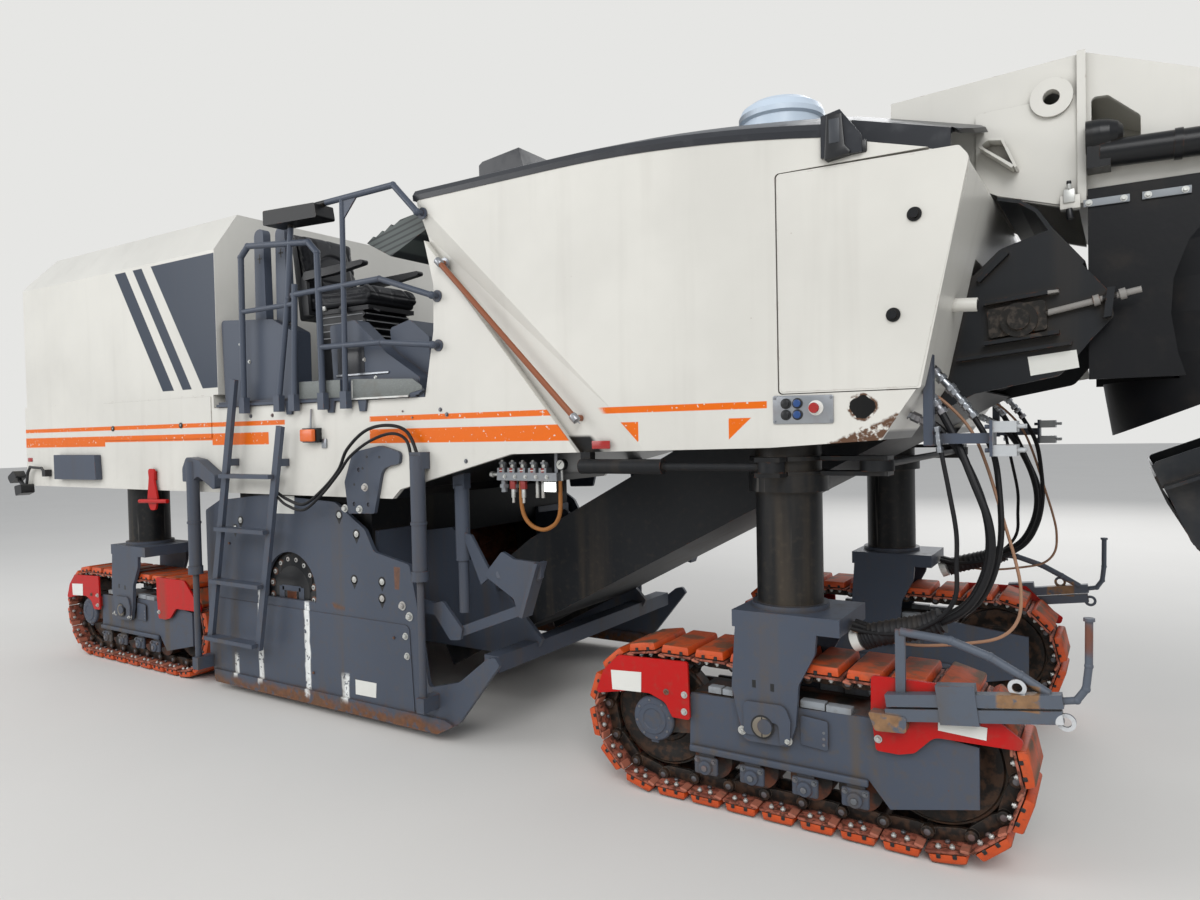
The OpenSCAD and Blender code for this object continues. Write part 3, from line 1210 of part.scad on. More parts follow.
module lock_levers() color([0.72, 0.13, 0.12]) placed() pair() {
  slab(rounded([[-5170, 1400, 15], [-5140, 1580, 20], [-5150, 1650, 25], [-5060, 1650, 25],
    [-5070, 1560, 20], [-5030, 1420, 15], [-5060, 1325, 30], [-5130, 1325, 30]]), -half_w - 34, 16);
  rod([-5260, -half_w - 44, 1392], [-4870, -half_w - 44, 1402], 16);
  block([-5135, -half_w - 18, 1560], [-5075, -half_w, 1630]);
}

lower_body();
engine_block();
engine_hood();
tank_body();
service_door(right);  // service_door_r
service_door(left);  // service_door_l
top_cowl();
platform_deck();
consoles();
seat_frames();
seat_cushions();
handrails();
ladders();
leg(0, right, front_top_z, true);  // leg_fr
leg(0, left, front_top_z, true);  // leg_fl
leg(-wheelbase, right, rear_top_z, false);  // leg_rr
leg(-wheelbase, left, rear_top_z, false);  // leg_rl
track(0, right);  // track_fr
track(0, left);  // track_fl
track(-wheelbase, right);  // track_rr
track(-wheelbase, left);  // track_rl
track_frame(0, right);  // track_frame_fr
track_frame(0, left);  // track_frame_fl
track_frame(-wheelbase, right);  // track_frame_rr
track_frame(-wheelbase, left);  // track_frame_rl
track_guards(0, right);  // guards_fr
track_guards(0, left);  // guards_fl
track_guards(-wheelbase, right);  // guards_rr
track_guards(-wheelbase, left);  // guards_rl
steer_rod(right);  // steer_rod_r
steer_rod(left);  // steer_rod_l
steer_barrels();
tie_rod();
drum_housing();
milling_drum();
side_plate(right);  // side_plate_r
side_plate(left);  // side_plate_l
lift_barrels();
scraper_blade();
front_shield();
feed_conveyor();
feed_belt();
gantry();
slew_cylinders();
shroud();
slew_yoke();
discharge_rear();
discharge_front();
belt_rear();
belt_front();
luff_barrels();
luff_rods();
lamps();
stow_bars(right);  // stow_bars_fr
stow_bars(left);  // stow_bars_fl
valve_blocks();
hose_brackets();
lock_levers();
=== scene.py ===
"""A parked cold planer on four tracks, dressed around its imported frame.

All places are in metres. X runs forward, Y to the machine's left and Z up from the ground.
"""

import json
import math

import bmesh
import bpy
from mathutils import Matrix, Vector

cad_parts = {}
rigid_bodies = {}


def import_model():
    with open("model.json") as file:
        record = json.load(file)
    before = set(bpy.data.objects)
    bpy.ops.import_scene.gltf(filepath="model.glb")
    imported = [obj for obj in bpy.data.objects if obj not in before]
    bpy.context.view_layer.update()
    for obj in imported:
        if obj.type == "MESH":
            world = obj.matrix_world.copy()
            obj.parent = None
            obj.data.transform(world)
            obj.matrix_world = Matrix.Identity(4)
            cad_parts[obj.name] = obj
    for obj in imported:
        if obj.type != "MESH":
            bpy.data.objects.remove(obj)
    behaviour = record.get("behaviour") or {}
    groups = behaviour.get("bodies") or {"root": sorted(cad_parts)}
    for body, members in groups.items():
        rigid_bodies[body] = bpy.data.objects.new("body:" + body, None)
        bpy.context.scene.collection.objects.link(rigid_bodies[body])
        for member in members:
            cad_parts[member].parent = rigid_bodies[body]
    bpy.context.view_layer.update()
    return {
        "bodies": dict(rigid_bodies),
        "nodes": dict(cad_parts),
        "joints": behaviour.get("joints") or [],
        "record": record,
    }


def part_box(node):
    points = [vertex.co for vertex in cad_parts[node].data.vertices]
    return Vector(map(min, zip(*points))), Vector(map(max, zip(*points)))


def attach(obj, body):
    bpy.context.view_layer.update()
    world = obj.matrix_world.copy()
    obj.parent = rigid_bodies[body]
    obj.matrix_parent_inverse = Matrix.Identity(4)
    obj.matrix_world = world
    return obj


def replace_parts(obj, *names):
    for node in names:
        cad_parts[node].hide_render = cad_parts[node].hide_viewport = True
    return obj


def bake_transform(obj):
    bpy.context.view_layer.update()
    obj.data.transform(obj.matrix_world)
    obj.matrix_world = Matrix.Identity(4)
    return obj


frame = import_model()

# X places are measured from the front columns, as they are on the machine
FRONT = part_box("gantry")[0].x - 0.38
SIDE = 1.25
WHEELBASE = 5.6
AXLES = (("f", 0.0), ("r", -WHEELBASE))
SIDES = {"r": -1, "l": 1}
RIGHT = (0, -1, 0)

# Each track: its middle in Y, half its straight run, its axles' height, and where its shoes' plates lie
TRACK_Y = 1.03
TRACK_RUN = 0.675
TRACK_RISE = 0.395
SHOE_FACE = 0.346
SHOE_COUNT = 26
SPROCKET_TEETH = 13

# Faces that hardware stands on: guards, forks, side plates and their wear strips, hooked brackets
GUARD_FACE = 1.235
FORK_FACE = 1.2465
PLATE_FACE = 1.2135
STRIP_FACE = 1.2195
BRACKET_FACE = 1.3315

# The camera as fitted to the photo: place, yaw, pitch and roll, and focal length in mm on a 36 mm sensor
EYE = (1.3815, -4.906, 1.8784)
VIEW_ANGLES = (0.5652, -0.0239, -0.0215)
FOCAL_LENGTH = 24.916

# Seats: their middle in Y, the pads' cells, and how the cloth swells them
SEAT_Y = 0.82
FINE_CELL = 0.006
PAD_EASE = 0.012
PAD_SWELL = 0.012
PAD_FRAMES = 20
CLOTH = {
    "quality": 6, "mass": 0.4, "tension_stiffness": 12, "compression_stiffness": 12, "bending_stiffness": 2,
    "use_pressure": True, "uniform_pressure_force": 4.0, "vertex_group_mass": "held",
}


# Colours, written as they look
def tone(code):
    """A colour from its six-figure screen code, as linear red, green, blue and alpha."""
    parts = [int(code[i : i + 2], 16) / 255 for i in (0, 2, 4)]
    return tuple(c / 12.92 if c <= 0.04045 else ((c + 0.055) / 1.055) ** 2.4 for c in parts) + (1.0,)


CREAM = tone("d3d1ca")
SLATE = tone("484f5c")
SLATE_DECAL = tone("253040")
ORANGE = tone("de6602")
RED = tone("b50d0c")
BLACK = tone("17181a")
RUBBER = tone("141416")
STEEL = tone("b9bcc0")
RUST = tone("6b3a20")
DIRT_AND_SHADE = tone("5d5142")
SOOT_AND_SHADE = tone("26231f")


# Shader maths in plain expressions
class Value:
    """A number that varies over a surface. Arithmetic on it adds Math nodes."""

    def __init__(self, finish, socket):
        self.finish = finish
        self.socket = socket

    def math(self, operation, *terms):
        made = self.finish.node("Math", {"operation": operation}, *terms)
        return Value(self.finish, made.outputs[0])

    def __add__(self, other):
        return self.math("ADD", self, other)

    __radd__ = __add__

    def __sub__(self, other):
        return self.math("SUBTRACT", self, other)

    def __rsub__(self, other):
        return self.math("SUBTRACT", other, self)

    def __mul__(self, other):
        return self.math("MULTIPLY", self, other)

    __rmul__ = __mul__

    def size(self):
        return self.math("ABSOLUTE", self)

    def most(self, other):
        return self.math("MAXIMUM", self, other)

    def least(self, other):
        return self.math("MINIMUM", self, other)

    def root(self):
        return self.math("SQRT", self)

    def sine(self):
        return self.math("SINE", self)


class Finish:
    """One material, with the few kinds of node that the finishes are written with."""

    def __init__(self, name):
        self.material = bpy.data.materials.new(name)
        self.material.use_nodes = True
        self.tree = self.material.node_tree
        self.shader = self.tree.nodes["Principled BSDF"]
        self.vector = self.node("TexCoord").outputs["Object"]
        parts = self.node("SeparateXYZ", None, Value(self, self.vector))
        self.x = Value(self, parts.outputs[0]) - FRONT
        self.y = Value(self, parts.outputs[1])
        self.z = Value(self, parts.outputs[2])

    def node(self, kind, settings=None, *values, **named):
        """A node of that kind: its settings first, then its sockets in order or by name."""
        made = self.tree.nodes.new("ShaderNode" + kind)
        for key, value in (settings or {}).items():
            setattr(made, key, value)
        for socket, value in zip(made.inputs, values):
            self.feed(socket, value)
        for key, value in named.items():
            self.feed(made.inputs[key], value)
        return made

    def feed(self, socket, value):
        if isinstance(value, Value):
            self.tree.links.new(value.socket, socket)
        elif value is not None:
            socket.default_value = value

    def set(self, **named):
        """Sockets of the main shader, with _ for a space."""
        for key, value in named.items():
            self.feed(self.shader.inputs[key.replace("_", " ")], value)
        return self

    def texture(self, kind, stretch=(1, 1, 1), **sockets):
        """A texture over the object's own coordinates, each of them stretched."""
        scaled = self.node("VectorMath", {"operation": "MULTIPLY"}, Value(self, self.vector), stretch)
        place = Value(self, scaled.outputs[0])
        return Value(self, self.node(kind, None, Vector=place, **sockets).outputs[0])

    def noise(self, scale, detail=3.0, stretch=(1, 1, 1)):
        return self.texture("TexNoise", stretch, Scale=scale, Detail=detail, Roughness=0.55)

    def spots(self, scale):
        """Distance from the nearest of many scattered points."""
        return self.texture("TexVoronoi", Scale=scale)

    def step(self, value, low, high):
        """0 below low and 1 above high, with a soft edge between them. Low may be the larger."""
        turned = low > high
        ends = (1.0, 0.0) if turned else (0.0, 1.0)
        smooth = {"interpolation_type": "SMOOTHSTEP"}
        made = self.node("MapRange", smooth, value, min(low, high), max(low, high), *ends)
        return Value(self, made.outputs[0])

    def within(self, value, low, high, soft=0.002):
        return self.step(value, low - soft, low + soft) * self.step(value, high + soft, high - soft)

    def inside(self, outline, soft=0.002):
        """1 inside a convex outline in X and Z, whose corners go round clockwise."""
        mask = None
        for (x0, z0), (x1, z1) in zip(outline, outline[1:] + outline[:1]):
            length = math.hypot(x1 - x0, z1 - z0)
            across = (self.x - x0) * ((z1 - z0) / length) - (self.z - z0) * ((x1 - x0) / length)
            edge = self.step(across, -soft, soft)
            mask = edge if mask is None else mask * edge
        return mask

    def patches(self, scale, detail, low, high, stretch=(1, 1, 1)):
        """Noise turned into patches: 0 below low and 1 above high."""
        return self.step(self.noise(scale, detail, stretch), low, high)

    def face(self):
        """1 on the outer face of a side skin."""
        return self.step(self.y.size(), SIDE - 0.012, SIDE - 0.006)

    def reach(self, x, z):
        """The distance from a line that crosses the machine at X and Z."""
        dx, dz = self.x - x, self.z - z
        return (dx * dx + dz * dz).root()

    def mix(self, mask, first, second):
        made = self.node("Mix", {"data_type": "RGBA"})
        self.feed(made.inputs[0], mask)
        self.feed(made.inputs[6], first)
        self.feed(made.inputs[7], second)
        return Value(self, made.outputs[2])

    def edges(self, radius=0.008, low=0.02, high=0.25):
        """1 along worn outer edges, 0 on flat faces."""
        rounded = self.node("Bevel", {"samples": 4}, radius).outputs[0]
        flat = self.node("NewGeometry").outputs["Normal"]
        dot = {"operation": "DOT_PRODUCT"}
        made = self.node("VectorMath", dot, Value(self, rounded), Value(self, flat))
        return self.step(1 - Value(self, made.outputs["Value"]), low, high)

    def corners(self, reach=0.06):
        """1 deep in a corner or crevice, from ambient occlusion: the mask for painted shade."""
        made = self.node("AmbientOcclusion", {"samples": 4}, Distance=reach)
        return self.step(Value(self, made.outputs["AO"]), 0.85, 0.3)

    def up(self):
        """How far the surface faces up, from 0 to 1."""
        parts = self.node("SeparateXYZ", None, Value(self, self.node("NewGeometry").outputs["Normal"]))
        return self.step(Value(self, parts.outputs[2]), 0.3, 0.9)

    def bump(self, height, distance=0.002, strength=0.5):
        made = self.node("Bump", None, Strength=strength, Distance=distance, Height=height)
        return self.set(Normal=Value(self, made.outputs[0]))


def shade(colour, factor):
    return tuple(c * factor for c in colour[:3]) + (1.0,)


# Finishes
def painted(name, colour, rough=0.38, dirt_and_shade=0.5, rust=0.5, wear=RUST, artwork=None, chip=0.05):
    """Sprayed steel: cloudy tone, rain streaks, dust low down, painted shade in corners, and chips along
    the edges.
    """
    f = Finish(name)
    cloud = f.noise(1.1, 4.0)
    base = f.mix(f.step(cloud, 0.3, 0.7), shade(colour, 0.93), shade(colour, 1.03))
    if artwork:
        base = artwork(f, base)
    streak = f.patches(7.0, 3.0, 0.52, 0.74, (1, 1, 0.06))
    fine = f.noise(26.0, 4.0)
    low = f.step(f.z, 2.3, 0.2)
    grime = (streak * (low * 0.5 + 0.18) + f.step(fine, 0.5, 0.75) * low * 0.4) * dirt_and_shade
    base = f.mix(grime.least(0.85), base, DIRT_AND_SHADE)
    # Painted shade in corners and crevices, in a darkened brown tone.
    base = f.mix(f.corners(0.045) * (0.25 + 0.5 * dirt_and_shade), base, shade(DIRT_AND_SHADE, 0.6))
    specks = f.step(f.spots(14.0), 0.06, 0.03) * f.patches(3.1, 2.0, 0.6, 0.72)
    chips = f.edges() * f.step(f.noise(19.0, 4.0), 0.62 - chip, 0.7 - chip) * rust
    bare = chips.most(specks * rust).least(1.0)
    base = f.mix(bare, base, wear)
    f.set(Base_Color=base, Roughness=rough + 0.25 * grime + 0.3 * bare, Specular_IOR_Level=0.3)
    f.bump(fine * 0.5 - bare * 0.8, 0.0015, 0.25)
    return f.material


def stripes(f, base):
    """The orange lines along both sides, broken at the ladder, the diagonal recess and the flap."""
    side = f.face()
    upper = f.within(f.z, 1.963, 1.996) * (f.within(f.x, -7.5, -3.49).most(f.within(f.x, -2.655, -0.02)))
    hood_line = f.within(f.z, 1.829, 1.915) * f.within(f.x, -7.5, -3.67)
    under_flap = f.within(f.x, -5.84, -4.33) * f.step(f.z, 1.868, 1.862)
    front_line = f.within(f.z, 1.826, 1.914) * f.within(f.x, -2.657, -0.95)
    rear_tip = f.inside([(-0.81, 1.916), (-0.705, 1.916), (-0.705, 1.81)])
    fore_tip = f.inside([(-0.212, 1.82), (-0.212, 1.921), (-0.098, 1.921)])
    lines = upper.most(hood_line * (1 - under_flap)).most(front_line).most(rear_tip).most(fore_tip)
    worn = f.patches(45.0, 4.0, 0.32, 0.36)
    base = f.mix(lines.least(1.0) * side * worn, base, ORANGE)
    wobble = (f.noise(21.0, 3.0) - 0.5) * 0.02
    reach = f.reach(0.415, 1.948) + (f.noise(13.0, 3.0) - 0.5) * 0.06
    rim, hole_shade = f.step(reach, 0.069, 0.06), f.step(reach, 0.055, 0.052)
    torn = f.step(f.z + wobble * 2.5 - (f.x - 0.25) * 0.42, 1.80, 1.785) * f.within(f.x, 0.24, 0.6, 0.01)
    base = f.mix(rim.most(torn) * side * f.patches(30.0, 4.0, 0.4, 0.52), base, tone("5f4433"))
    inward = f.step(f.y.size(), SIDE - 0.03, SIDE - 0.035)
    base = f.mix(inward * f.step(f.z, 1.86, 1.84) * f.step(f.x, -5.2, -5.1), base, tone("121315"))
    # Near black in the torn opening: painted shade of the body's inside, as the panel is not cut.
    return f.mix(hole_shade * side, base, tone("0b0b0b"))


def hood_art(f, base):
    """A slate panel beside the hood's front edge, and two slanted slate stripes behind it."""
    side = f.face()
    panel = f.inside([(-4.43, 2.252), (-5.07, 3.235), (-4.243, 3.235), (-4.243, 2.252)])
    stripe_a = f.inside([(-4.959, 2.252), (-5.6, 3.235), (-5.44, 3.235), (-4.805, 2.252)])
    stripe_b = f.inside([(-4.69, 2.252), (-5.33, 3.235), (-5.2, 3.235), (-4.57, 2.252)])
    return f.mix(panel.most(stripe_a).most(stripe_b).least(1.0) * side, base, SLATE_DECAL)


def marked_side(f, base):
    """Hand-sprayed white lines on the drum's side plate, and rust eating its lower edge."""
    wobble = (f.noise(9.0, 2.0) - 0.5) * 0.03
    lines = None
    for x, low, high, wide in (
        (-4.16, 0.13, 0.29, 0.045), (-3.87, 0.12, 0.78, 0.05),
        (-3.36, 0.1, 0.75, 0.052), (-2.985, 0.12, 0.3, 0.07),
    ):
        across = f.within(f.x + wobble, x - wide / 2, x + wide / 2, 0.008)
        line = across * f.within(f.z + wobble, low, high, 0.02)
        lines = line if lines is None else lines.most(line)
    patchy = f.patches(34.0, 4.0, 0.34, 0.42)
    base = f.mix(lines * patchy, base, tone("e6e8e6"))
    eaten = f.step(f.z + (f.noise(4.0, 5.0) - 0.5) * 0.26, 0.17, 0.09)
    holed = f.inside([(-3.19, 0.79), (-3.1, 0.77), (-3.0, 0.80), (-2.9, 0.82), (-2.89, 0.74), (-3.0, 0.725),
                      (-3.16, 0.74)], 0.02) * f.patches(16.0, 3.0, 0.38, 0.48)
    strip = f.inside([(-2.514, 1.048), (-2.459, 1.046), (-2.472, 0.905), (-2.511, 0.907)], 0.006)
    rusted = (eaten * f.patches(22.0, 4.0, 0.32, 0.5)).most(holed).most(strip * 0.8)
    return f.mix(rusted.least(1.0), base, f.mix(f.noise(30.0, 3.0), tone("3a2b22"), tone("8a5a3a")))


def door_knobs(f, base):
    """Black knobs that stand out of the service doors."""
    return f.mix(f.step(f.y.size(), SIDE + 0.003, SIDE + 0.004), base, tone("17181a"))


def black_case(f, base):
    """The flat black case on the operator's rails."""
    return f.mix(f.within(f.x, -3.486, -2.942) * f.within(f.z, 3.262, 3.392), base, tone("0b0c0e"))


def awning_cloth(f, base):
    """The folded awning's olive grey, with painted shade in its folds."""
    # Dark bands across the cloth: painted shade in its folds.
    folds = f.step(((f.z - f.x * 0.21) * 170.0).sine(), 0.2, 0.8)
    cloth = f.mix(folds, tone("4d5452"), tone("2b2f30"))
    return f.mix(f.step(f.z, 2.985, 2.99) * f.within(f.x, -2.72, -2.1), base, cloth)


def plated_clamps(f, base):
    """Bright clamps on the painted hose brackets."""
    return f.mix(f.step(f.x, 0.916, 0.918), base, tone("b4b7b9"))


def tail_dark(f, base):
    """The discharge conveyor's dark receiving end, under the shroud."""
    dark = f.mix(f.patches(6.0, 4.0, 0.45, 0.7) * 0.5, tone("23262a"), tone("4a4744"))
    return f.mix(f.step(f.z + (f.x - 1.6) * -0.9, 1.86, 1.83) * f.step(f.x, 3.0, 2.9), base, dark)


def head_steel(f, base):
    """The bare tension screws on the feeding conveyor's dark head."""
    screw = f.step(f.y.size(), 0.6215, 0.623) * f.step(f.x, 1.086, 1.088) * f.within(f.z, 2.34, 2.46)
    stop = f.within(f.x, 1.296, 1.350)
    greasy = f.step(f.y.size(), 0.6215, 0.623) * f.within(f.x, 0.83, 1.086) * f.within(f.z, 2.26, 2.43)
    base = f.mix(greasy, base, f.mix(f.patches(24.0, 4.0, 0.45, 0.6), tone("151310"), tone("3d3630")))
    return f.mix(screw * (1 - stop), base, tone("8d8a86"))


def column_black(f, base):
    """A greasy black column above the painted fork, with pale scratches down it."""
    scratch = f.patches(28.0, 3.0, 0.63, 0.72, (1, 1, 0.04))
    black = f.mix(scratch * 0.5, shade(BLACK, 0.8), tone("6d6a66"))
    return f.mix(f.step(f.z, 1.03, 1.04), base, black)


def track_finish(name):
    """Orange pads, worn brown and earthy on the face that meets the road, with painted shade in their
    corners.
    """
    f = Finish(name)
    along = f.x.size() if name.startswith("front") else (f.x + WHEELBASE).size()
    beyond = (along - 0.6775).most(0.0)
    height = f.z - TRACK_RISE
    ring = (beyond * beyond + height * height).root()
    face = f.step(ring, 0.384, 0.391)
    cloud = f.noise(8.5, 5.0)
    orange = f.mix(f.noise(17.0, 3.0), tone("a83a14"), tone("d65515"))
    worn = f.mix(f.noise(23.0, 4.0), tone("983f1c"), tone("c05323"))
    earth = f.mix(f.noise(34.0, 4.0), tone("4b3526"), tone("6d5540"))
    pad = f.mix(face, orange, f.mix(f.step(cloud, 0.45, 0.6), worn, earth))
    pad = f.mix(f.patches(12.0, 5.0, 0.54, 0.72) * 0.5, pad, earth)
    # Painted shade: dark brown deep in the pads' corners.
    pad = f.mix(f.corners(0.03) * 0.75, pad, tone("2b1d15"))
    pad = f.mix(f.edges(0.008) * f.patches(13.0, 3.0, 0.42, 0.55) * 0.8, pad, tone("e0642a"))
    scratch = f.patches(60.0, 3.0, 0.62, 0.7, (0.3, 1, 1))
    f.set(Base_Color=f.mix(scratch * 0.35, pad, tone("3a2a20")), Roughness=0.5 + 0.25 * face)
    f.bump(f.noise(40.0, 5.0) + f.noise(9.0, 2.0) + scratch * 0.3, 0.003, 0.5)
    return f.material


def shoe_finish(name):
    """Steel shoe plates: pinkish worn primer and rust, with painted shade in their corners."""
    f = Finish(name)
    patch = f.noise(16.0, 5.0)
    base = f.mix(f.step(patch, 0.4, 0.55), tone("7a4032"), tone("a8604c"))
    base = f.mix(f.patches(38.0, 4.0, 0.5, 0.62), base, tone("5a3020"))
    # Painted shade: a near-black tone deep in the shoes' corners.
    base = f.mix(f.corners(0.03) * 0.8, base, SOOT_AND_SHADE)
    f.set(Base_Color=base, Roughness=0.6 + 0.2 * patch, Metallic=0.25)
    f.bump(patch + f.noise(60.0, 3.0) * 0.5, 0.003, 0.5)
    return f.material


def greasy(name):
    """Chain links and wheels, black with grease and packed earth."""
    f = Finish(name)
    clot = f.noise(22.0, 5.0)
    base = f.mix(f.step(clot, 0.42, 0.62), tone("1f1b18"), tone("4a3527"))
    base = f.mix(f.edges(0.006) * 0.5, base, tone("7c736a"))
    f.set(Base_Color=base, Roughness=0.42 + 0.35 * clot, Metallic=0.3)
    f.bump(clot, 0.004, 0.5)
    return f.material


def frame_paint(f, base):
    """Grease and rust on the rollers and wheels behind the frame's plates."""
    inner = f.step((f.y.size() - TRACK_Y).size(), 0.165, 0.15)
    grease = f.mix(f.patches(10.0, 4.0, 0.42, 0.66), SOOT_AND_SHADE, shade(RUST, 0.9))
    return f.mix(inner * 0.92, base, grease)


def bar_rust(f, base):
    """Rusty bands along the stowed bars."""
    band = f.patches(3.3, 4.0, 0.54, 0.7) * f.step(f.z, 0.9, 1.0)
    foot = f.within(f.x, 0.425, 0.6, 0.01) * f.within(f.z, 0.55, 0.642, 0.01)
    wrap = f.within(f.x, 0.936, 1.09, 0.006) * f.within(f.z, 0.736, 0.835)
    patchy = f.patches(19.0, 4.0, 0.38, 0.5)
    base = f.mix(foot.most(wrap) * patchy, base, f.mix(f.noise(24.0, 3.0), tone("5e4634"), tone("a5805c")))
    for x, z, low, high in ((1.01, 0.822, 0.74, 0.80), (1.18, 0.712, 0.5, 0.6)):
        ring = f.step(f.reach(x, z), 0.0365, 0.035) * f.step(f.y.size(), 1.2735, 1.2745)
        base = f.mix(ring * (1 - f.within(f.z, low, high)), base, tone("c4c6c8"))
    return f.mix(band * 0.8, base, shade(RUST, 1.2))


def rubber(name, colour=RUBBER, rough=0.6, scuff=0.5):
    f = Finish(name)
    cloud = f.noise(2.2, 5.0)
    dusty = f.patches(6.0, 5.0, 0.5, 0.8) * scuff
    base = f.mix(cloud, shade(colour, 0.7), shade(colour, 1.5))
    base = f.mix(dusty * 0.35 + f.up() * 0.1 * scuff, base, DIRT_AND_SHADE)
    f.set(Base_Color=base, Roughness=rough + 0.15 * dusty, Specular_IOR_Level=0.22)
    f.bump(f.noise(55.0, 4.0), 0.001, 0.4)
    return f.material


def steel(name, colour=STEEL, rough=0.28, grime=0.3, metal=1.0):
    f = Finish(name)
    brushed = f.noise(40.0, 3.0, (1, 1, 0.1))
    stain = f.patches(5.0, 5.0, 0.48, 0.7) * grime
    base = f.mix(stain, f.mix(brushed, shade(colour, 0.85), colour), shade(RUST, 1.1))
    f.set(Base_Color=base, Metallic=metal - 0.7 * stain, Roughness=rough + 0.4 * stain)
    f.bump(brushed, 0.0005, 0.3)
    return f.material


def rusty(name, colour=RUST):
    f = Finish(name)
    scale = f.noise(9.0, 6.0)
    fine = f.noise(60.0, 4.0)
    base = f.mix(f.step(scale, 0.35, 0.7), shade(colour, 0.55), shade(colour, 1.5))
    base = f.mix(f.step(fine, 0.5, 0.7) * 0.5, base, SOOT_AND_SHADE)
    base = f.mix(f.edges(0.01) * 0.5, base, tone("8f8a84"))
    f.set(Base_Color=base, Roughness=0.82, Metallic=0.15 * f.step(fine, 0.7, 0.4))
    f.bump(scale + fine * 0.4, 0.004, 0.6)
    return f.material


def moulded(name, colour, rough=0.45):
    """Moulded plastic with a fine grain."""
    f = Finish(name)
    dust = f.up() * f.patches(5.0, 4.0, 0.4, 0.75)
    base = f.mix(f.noise(3.0, 3.0), shade(colour, 0.9), shade(colour, 1.1))
    base = f.mix(dust * 0.3, base, tone("8a8578"))
    f.set(Base_Color=base, Roughness=rough + 0.2 * dust)
    f.bump(f.noise(260.0, 2.0), 0.0004, 0.35)
    return f.material


def glow(name, colour, strength):
    f = Finish(name)
    cell = f.spots(55.0)
    f.set(Base_Color=f.mix(f.step(cell, 0.1, 0.5), colour, shade(colour, 0.8)), Roughness=0.15)
    f.set(Emission_Color=f.mix(f.step(cell, 0.0, 0.7), colour, shade(colour, 0.7)),
          Emission_Strength=strength)
    return f.material


def lens(name, colour):
    """A moulded lamp or reflector cover with a ribbed face and painted shade on its ribs."""
    f = Finish(name)
    ribs = (f.z * 900.0).sine() * 0.5 + 0.5
    # The ribs run between a shaded copy of the colour and the full colour: painted shade on the ribs.
    f.set(Base_Color=f.mix(ribs, shade(colour, 0.75), colour), Roughness=0.18, Coat_Weight=0.4)
    f.bump(ribs, 0.001, 0.4)
    return f.material


def top_black(name):
    """The tank's black cover, and the grey dome that stands on it."""
    f = Finish(name)
    dx = f.x + 0.37
    dome = f.step((dx * dx + f.y * f.y).root(), 0.262, 0.256) * f.step(f.z, 3.4, 3.44)
    scuff = f.patches(8.0, 5.0, 0.5, 0.8)
    black = f.mix(scuff * 0.3, tone("24262b"), tone("55575a"))
    f.set(Base_Color=f.mix(dome, black, tone("c8d6e4")), Roughness=0.33 + 0.25 * scuff)
    f.bump(f.noise(30.0, 3.0), 0.001, 0.2)
    return f.material


def speckled(name):
    """Grey non-slip aluminium with pale specks."""
    f = Finish(name)
    specks = f.step(f.spots(260.0), 0.32, 0.2)
    base = f.mix(specks * 0.55, tone("6f7371"), tone("a9acaa"))
    base = f.mix(f.patches(6.0, 5.0, 0.55, 0.75) * 0.4, base, DIRT_AND_SHADE)
    f.set(Base_Color=base, Roughness=0.55, Metallic=0.3)
    f.bump(specks, 0.001, 0.4)
    return f.material


def tread_plate(f, base):
    """Paler paint where feet wear the floor plates."""
    return f.mix(f.up() * 0.35, base, tone("8d8f8e"))


cream = painted("cream_paint", CREAM, 0.32, 0.3, 0.35, artwork=stripes)
cream_hood = painted("cream_paint_hood", CREAM, 0.32, 0.25, 0.3, artwork=hood_art)
cream_plain = painted("cream_paint_plain", CREAM, 0.34, 0.35, 0.5)
slate = painted("slate_paint", SLATE, 0.42, 0.6, 0.8)
slate_side = painted("slate_side_plate", SLATE, 0.45, 0.7, 0.9, artwork=marked_side)
slate_leg = painted("slate_leg", SLATE, 0.4, 0.7, 0.6, artwork=column_black)
slate_frame = painted("slate_track_frame", SLATE, 0.5, 0.9, 0.8, artwork=frame_paint)
slate_floor = painted("slate_floor", SLATE, 0.5, 0.6, 0.7, artwork=tread_plate)
dark_steelwork = painted("dark_steelwork", tone("131518"), 0.5, 0.5, 0.9)
cream_tail = painted("cream_paint_tail", CREAM, 0.34, 0.35, 0.5, artwork=tail_dark)
feed_paint = painted("feed_conveyor_paint", tone("15181c"), 0.48, 0.5, 0.9, artwork=head_steel)
cream_door = painted("cream_paint_door", CREAM, 0.34, 0.3, 0.35, artwork=door_knobs)
slate_rails = painted("slate_rails", SLATE, 0.4, 0.5, 0.9, artwork=black_case)
slate_console = painted("slate_consoles", SLATE, 0.44, 0.6, 0.8, artwork=awning_cloth)
bright_bracket = painted("hose_brackets", SLATE, 0.42, 0.6, 0.8, artwork=plated_clamps)
red_guard = painted("red_guard", RED, 0.4, 0.6, 0.7)
black_paint = painted("black_paint", BLACK, 0.3, 0.3, 0.3)
front_track = track_finish("front_track")
rear_track = track_finish("rear_track")
belt_rubber = rubber("belt_rubber")
shroud_rubber = rubber("shroud_rubber", tone("0e0f12"), 0.42, 0.3)
hose_rubber = rubber("hose_rubber", tone("18181a"), 0.45, 0.3)
chrome = steel("chrome_rod", tone("cfd2d6"), 0.15, 0.12)
plated = steel("plated_fittings", tone("a9adb2"), 0.35, 0.25)
rust_steel = rusty("rusty_steel")
shoe_metal = shoe_finish("shoe_metal")
shoe_flap = painted("shoe_flap", tone("b06a55"), 0.55, 0.9, 0.8)
zinc = steel("zinc_bolts", tone("c9cac6"), 0.4, 0.35, 0.55)
chain_grease = greasy("chain_grease")
shim_grey = painted("shim_grey", tone("8b9095"), 0.5, 0.8, 0.6)
cover_black = top_black("cover_black")
valve_red = moulded("valve_red", tone("8c2f2b"), 0.5)
tan_hose = rubber("tan_hose", tone("8a5a2e"), 0.5, 0.3)
